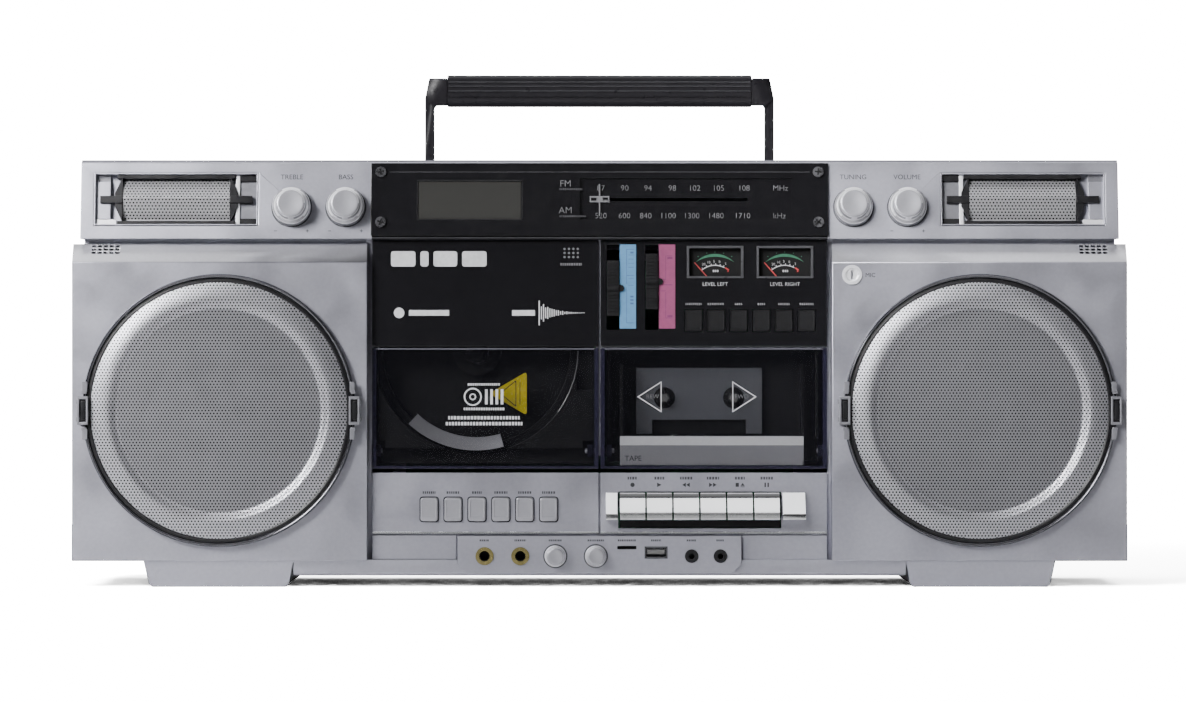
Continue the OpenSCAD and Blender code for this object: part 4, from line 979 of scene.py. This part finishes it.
# grey face of the cassette plate, with its reel holes and the notch of the head
SPINDLE_Y = span("supply_spindle")[0].y
PLATE_Y = SPINDLE_Y + 7.2
REELS = [joint_at(word + "_spin") for word in ("supply", "takeup")]
TAPE_X = (REELS[0].x + REELS[1].x) / 2
plate = [(TAPE_X + x, z) for x, z in
         ((-38.6, 93.2), (-28.9, 93.2), (-28.9, 101.8), (28.9, 101.8), (28.9, 93.2),
          (38.6, 93.2), (38.6, 133.6), (-38.6, 133.6))]
piece("deck_plate", deck_grey,
      (add_plate, plate, [(at.x, at.z, 6.5) for at in REELS], (PLATE_Y - 0.14, PLATE_Y + 0.3)),
      slot="deck_grey")
for word in ("supply", "takeup"):
    refine(word + "_spindle", [deep_black, nylon], 0.12,
           pick=lambda c, n: int(c.y < SPINDLE_Y + 0.4))

# ---- lower panels, keys and buttons

KEY_Z = span("record_key")[0].z
LOW_Z = span("lower_panels")[0].z
refine("lower_panels", [silver, chrome, satin_black], 0.3,
       pick=lambda c, n: 1 if (c.y < PANEL - 0.3 and KEY_Z - 1 < c.z < 58) else (
           2 if c.y > PANEL + 3.2 else 0))
piece("key_sill", deep_black,
      (add_box, (12.5, PANEL + 0.5, 36.0), (110.3, PANEL + 2.2, 40.4), 0.2, 1),
      slot="black_plastic")
piece("lower_edge_line", chrome,
      *((add_box, (x0, PANEL - 0.2, LOW_Z + 0.1), (x1, PANEL + 0.6, LOW_Z + 1.2), 0.15, 1)
        for x0, x1 in ((-139, -0.6), (0.6, 139))), slot="silver_plastic")
# side profile of a key cap, y from the panel and z from its foot: front, scoop, top, back
CAP = [(-12.0, 0.0), (-12.5, 0.3), (-12.6, 0.8), (-12.6, 3.7), (-12.3, 4.1), (-11.5, 4.15),
       (-11.5, 4.5), (-9.3, 7.2), (-6.6, 10.2), (-3.9, 13.0), (-3.5, 13.3), (-2.6, 15.4),
       (-2.0, 16.1), (-1.4, 16.4), (-1.0, 16.4), (-1.0, 0.0)]
SHAFT_Z, SYMBOL_Z, SYMBOL_R = 50, 62.2, 1.35


def key_symbols(word, x):
    """Printed sign of one cassette key."""
    s, z = SYMBOL_R, SYMBOL_Z
    if word == "record":
        return [spot(s, x, z, 14)]
    if word == "play":
        return [[(x - s, z - s), (x - s, z + s), (x + s, z)]]
    if word == "pause":
        return [(x - s, x - s * 0.35, z - s, z + s), (x + s * 0.35, x + s, z - s, z + s)]
    if word == "stop":
        return [(x - 2.6, x - 0.6, 61.0, 63.4), [(x + 0.4, 61.6), (x + 3.0, 61.6),
                                                 (x + 1.7, 63.4)],
                (x + 0.4, x + 3.0, 60.8, 61.2)]
    d = -1.1 if word == "rewind" else 1.1
    return [[(x + shift - d, z - s), (x + shift - d, z + s), (x + shift + d, z)]
            for shift in (-1.3, 1.1)]


symbols, bars = [], []
for word in ("record", "play", "rewind", "forward", "stop", "pause"):
    node = word + "_key"
    lo, hi = span(node)
    # cap, lever to the shaft and its bearing
    piece(node + "_cap", chrome,
          (add_rail, [(PANEL + y, lo.z + z) for y, z in CAP], lo.x + 0.25, hi.x - 0.25, 0.3),
          (add_box, (lo.x + 2, PANEL - 1.6, SHAFT_Z - 3), (hi.x - 2, hi.y - 3, SHAFT_Z + 3),
           0.3, 1),
          (add_bearing, 1.7, 3, hi.x - lo.x - 4, lo.x + 2, hi.y - 3, SHAFT_Z),
          body=node, replaces=(node,), slot="chrome_trim", angle=20)
    x = (lo.x + hi.x) / 2
    bars += greek(x, 66.3, rng.choice((6, 7.5)), 1.7)
    symbols += key_symbols(word, x)
flat_marks("key_symbols", symbols, print_ink, FACE)
rims = []
for i in range(1, 7):
    node = "cd_button_%d" % i
    push_button(node, silver_key, "silver_plastic", 1.1, 1.6, 1.1)
    lo, hi = span(node)
    # a dark ring round each button: painted shadow in the gap between button and panel
    rims += rim_strips(*(rounded_block(lo.x - g, hi.x + g, lo.z - g, hi.z + g, r)
                         for g, r in ((0.7, 2.0), (0.3, 1.8))))
    bars += greek((lo.x + hi.x) / 2, 57.5, rng.choice((6, 8)), 1.5)
flat_marks("button_gap_shadows", rims, dark_print_and_shade, FACE)
flat_marks("lower_captions", bars, dark_print_and_shade, FACE)
piece("button_backing", deep_black,
      (add_box, (-113, PANEL + 2.9, 37), (-21, PANEL + 3.4, 58), 0.1, 1), slot="black_plastic")

# ---- jack panel

JACK_Z = joint_at("echo_turn").z
USB_X, USB_Z = 34.5, JACK_Z + 2.2
refine("jack_panel", silver, 0.3)
refine("sockets", [gold, satin_black, steel, deep_black], 0.08,
       pick=lambda c, n: 1 if c.x > 45 or c.x < -40 and c.y > JACK_Y + 0.5 else (
           0 if c.x < -40 else 2 if 27 < c.x < 42 else 3))
# the rim ring on each gold collar takes the darker gold as painted shade; on the black sockets it
# is plain black
for x, bore, outer, high, mat, dark in ((-70.2, 2.9, 5.3, 1.0, gold, gold_painted_shade),
                                        (-48.4, 2.9, 5.3, 1.0, gold, gold_painted_shade),
                                        (56.2, 1.9, 4.0, 0.8, satin_black, satin_black),
                                        (73.8, 1.9, 4.0, 0.8, satin_black, satin_black)):
    lip = bore + 0.9
    for word, profile, steps, finish in (
            ("collar", [(lip, 0.02), (lip, high * 0.55), (outer - 0.6, high),
                        (outer - 0.2, high * 0.9), (outer, high * 0.5), (outer, 0.02),
                        (lip, 0.02)], 64, mat),
            ("rim", [(outer - 0.5, 0.02), (outer - 0.5, high * 0.98), (outer + 0.1, high * 0.8),
                     (outer + 0.2, 0.02), (outer - 0.5, 0.02)], 64, dark),
            ("throat", [(bore, -12), (bore, 0.2), (lip, 0.2), (lip, -0.4), (bore + 0.3, -0.4),
                        (bore + 0.3, -12), (bore, -12)], 48, deep_black)):
        piece("jack_%s_%d" % (word, round(x + 100)), finish,
              (add_lathe, profile, steps, (x, JACK_Y, JACK_Z)), slot="gold_plate")
piece("usb_surround", meter_grey,
      (add_frame, (USB_X, USB_Z), (7.0, 3.7), (0.8, 0.9), (JACK_Y - 0.35, JACK_Y - 0.02), 0.1),
      slot="gold_plate")
piece("usb_tongue", nylon, (add_box, (USB_X - 5.4, JACK_Y + 0.4, USB_Z - 1.0),
                            (USB_X + 5.4, JACK_Y + 1.3, USB_Z + 1.7), 0.2, 1), slot="gold_plate")
captions = []
for x, wide in ((-70.2, 6), (-48.4, 7), (-27, 8), (-2.3, 10), (16.7, 11), (USB_X, 6), (56.2, 6),
                (73.8, 5)):
    captions += greek(x, 28.4, wide, 1.2)
flat_marks("jack_captions", captions, dark_print_and_shade, upright(0, JACK_Y, 0))

# ---- knobs

def knob(word, place, radius, length, cap, skirt):
    """Turned knob with a painted shadow ring at its foot, a flared skirt, a chamfer and a dished
    cap.
    """
    node = word + "_knob"
    # dark ring on the panel round the knob's foot: painted shadow
    piece(node + "_foot_shadow", meter_grey,
          (add_lathe, [(radius + 0.1, 0.02), (radius + 0.1, 0.22), (radius + 0.8, 0.22),
                       (radius + 0.9, 0.02), (radius + 0.1, 0.02)], 72),
          place=place, slot="black_plastic")
    piece(node + "_turned", [silver_key, pale_silver],
          (add_lathe, [(0, -3), (2.2, -3), (2.2, 0.3), (radius - 0.3, 0.3), (radius, 0.8),
                       (radius, skirt - 1.2), (radius - 0.35, skirt - 0.3),
                       (radius - 1.1, skirt), (cap + 0.9, skirt + 0.55),
                       (cap + 0.35, skirt + 1.3), (cap + 0.1, length - 1.3),
                       (cap - 0.25, length - 0.5), (cap - 0.9, length - 0.12),
                       (cap - 1.6, length - 0.02), (cap * 0.5, length - 0.3),
                       (0, length - 0.36)], 96),
          body=node, place=place, replaces=(node,), slot="silver_plastic", angle=50,
          pick=lambda c, n: int(0.25 < abs(n.y) < 0.85))


words, signs = [], []
for word in ("treble", "bass", "tuning", "volume"):
    at = joint_at(word + "_turn")
    knob(word, wing(at.x, at.z), 11.6, 12.9, 8.9, 6.4)
    words.append((word.upper(), at.x, 14.2, 3.1))
    if word != "tuning":
        # minus sign on the left, plus sign on the right
        signs += [(at.x - 10.6, at.x - 8.8, -19.6, -19.2), (at.x + 8.8, at.x + 10.6, -19.6, -19.2),
                  (at.x + 9.5, at.x + 9.9, -20.3, -18.5)]
for word in ("echo", "mic_level"):
    knob(word, upright(*joint_at(word + "_turn")), 6.5, 7.3, 5.5, 2.6)
numbers("wing_captions", words, print_ink, DIAL, thin=0)
numbers("mic_word", [("MIC", 165.2, 190.2, 2.6)], print_ink, upright(0, FRONT, 0), thin=0)
flat_marks("wing_signs", signs, dark_print_and_shade, DIAL)

# ---- handle and aerial

refine("handle_frame", handle_black, 0.7, 3)
refine("handle_grip", handle_black, 0.5, 3)
lo, hi = span("handle_grip")
# grey lines along the grip's grooves and its top edge: painted highlights
piece("grip_highlight_lines", meter_grey,
      *((add_box, (lo.x + 0.6, lo.y - 0.12, hi.z - down - thick),
         (hi.x - 0.6, lo.y + 0.6, hi.z - down + thick), 0.12, 1)
        for down, thick in ((4.3, 0.35), (6.9, 0.3), (9.9, 0.3))),
      (add_box, (lo.x + 1, lo.y + 2.4, hi.z - 0.35), (hi.x - 1, lo.y + 3.6, hi.z), 0.12, 1),
      body="handle", slot="black_plastic")
for node in ("antenna_base", "antenna_mast", "antenna_tip"):
    refine(node, chrome, 0.25)

# ---- stage, light and camera

floor_bm = bmesh.new()
bmesh.ops.create_grid(floor_bm, x_segments=1, y_segments=1, size=1.1)
floor_mesh = bpy.data.meshes.new("floor")
floor_bm.to_mesh(floor_mesh)
floor_bm.free()
floor = bpy.data.objects.new("floor", floor_mesh)
bpy.context.collection.objects.link(floor)
paper = bpy.data.materials.new("floor_paper")
paper.use_nodes = True
set_sockets(paper.node_tree.nodes["Principled BSDF"], Base_Color=(0.92, 0.92, 0.92, 1),
            Roughness=0.9)
floor_mesh.materials.append(paper)

# the floor only catches shadow, so the backdrop shows through it
floor.is_shadow_catcher = True

# soft studio surround: bright overhead, dark towards the horizon; the camera sees white
WHITE = (1, 1, 1, 1)
world = bpy.data.worlds.new("studio")
bpy.context.scene.world = world
world.use_nodes = True
tree = world.node_tree
link = tree.links.new
sky = set_sockets(tree.nodes["Background"], Color=WHITE)
around = add_node(tree, "TexCoord")
height = add_node(tree, "SeparateXYZ")
fade = add_node(tree, "MapRange", From_Min=0.70, From_Max=1.0, To_Min=0.06, To_Max=0.6)
backdrop = add_node(tree, "Background", Color=WHITE, Strength=20.0)
seen = add_node(tree, "LightPath")
choose = add_node(tree, "MixShader")
link(around.outputs["Generated"], height.inputs["Vector"])
link(height.outputs["Z"], fade.inputs["Value"])
link(fade.outputs["Result"], sky.inputs["Strength"])
link(seen.outputs["Is Camera Ray"], choose.inputs["Fac"])
link(sky.outputs["Background"], choose.inputs[1])
link(backdrop.outputs["Background"], choose.inputs[2])
link(choose.outputs["Shader"], tree.nodes["World Output"].inputs[0])


def soft_light(name, at, target, size, watts, spread=180):
    """Rectangular lamp at a place in metres, turned to a target; spread in degrees."""
    light = bpy.data.lights.new(name, "AREA")
    light.shape = "RECTANGLE"
    light.size, light.size_y = size
    light.energy = watts
    light.spread = radians(spread)
    lamp = bpy.data.objects.new(name, light)
    bpy.context.collection.objects.link(lamp)
    lamp.location = at
    lamp.rotation_euler = (Vector(target) - Vector(at)).to_track_quat("-Z", "Y").to_euler()


soft_light("key_light", (-0.78, -0.72, 0.60), (-0.36, 0, 0.17), (0.35, 0.35), 4.4, 70)
soft_light("second_key", (-0.15, -0.74, 0.50), (0.34, 0, 0.16), (0.3, 0.3), 1.0, 44)
soft_light("side_light", (1.9, -1.0, 0.9), (0.2, 0, 0.12), (0.7, 0.9), 2)
soft_light("top_light", (0.0, 0.2, 2.0), (0, 0, 0.1), (2.6, 1.6), 24)

# a long lens from far off; its picture is FRAME_W wide at the cabinet's front, as in the photo
SENSOR, DISTANCE, FRAME_W = 36.0, 3200.0, 723.5
VIEW_X, VIEW_Z = -4.0, 144.0
camera = bpy.data.cameras.new("camera")
camera.sensor_width = SENSOR
camera.lens = SENSOR * DISTANCE / FRAME_W
viewer = bpy.data.objects.new("camera", camera)
bpy.context.collection.objects.link(viewer)
viewer.location = Vector((VIEW_X, FRONT - DISTANCE, VIEW_Z)) * MM
viewer.rotation_euler = (pi / 2, 0, 0)
bpy.context.scene.camera = viewer
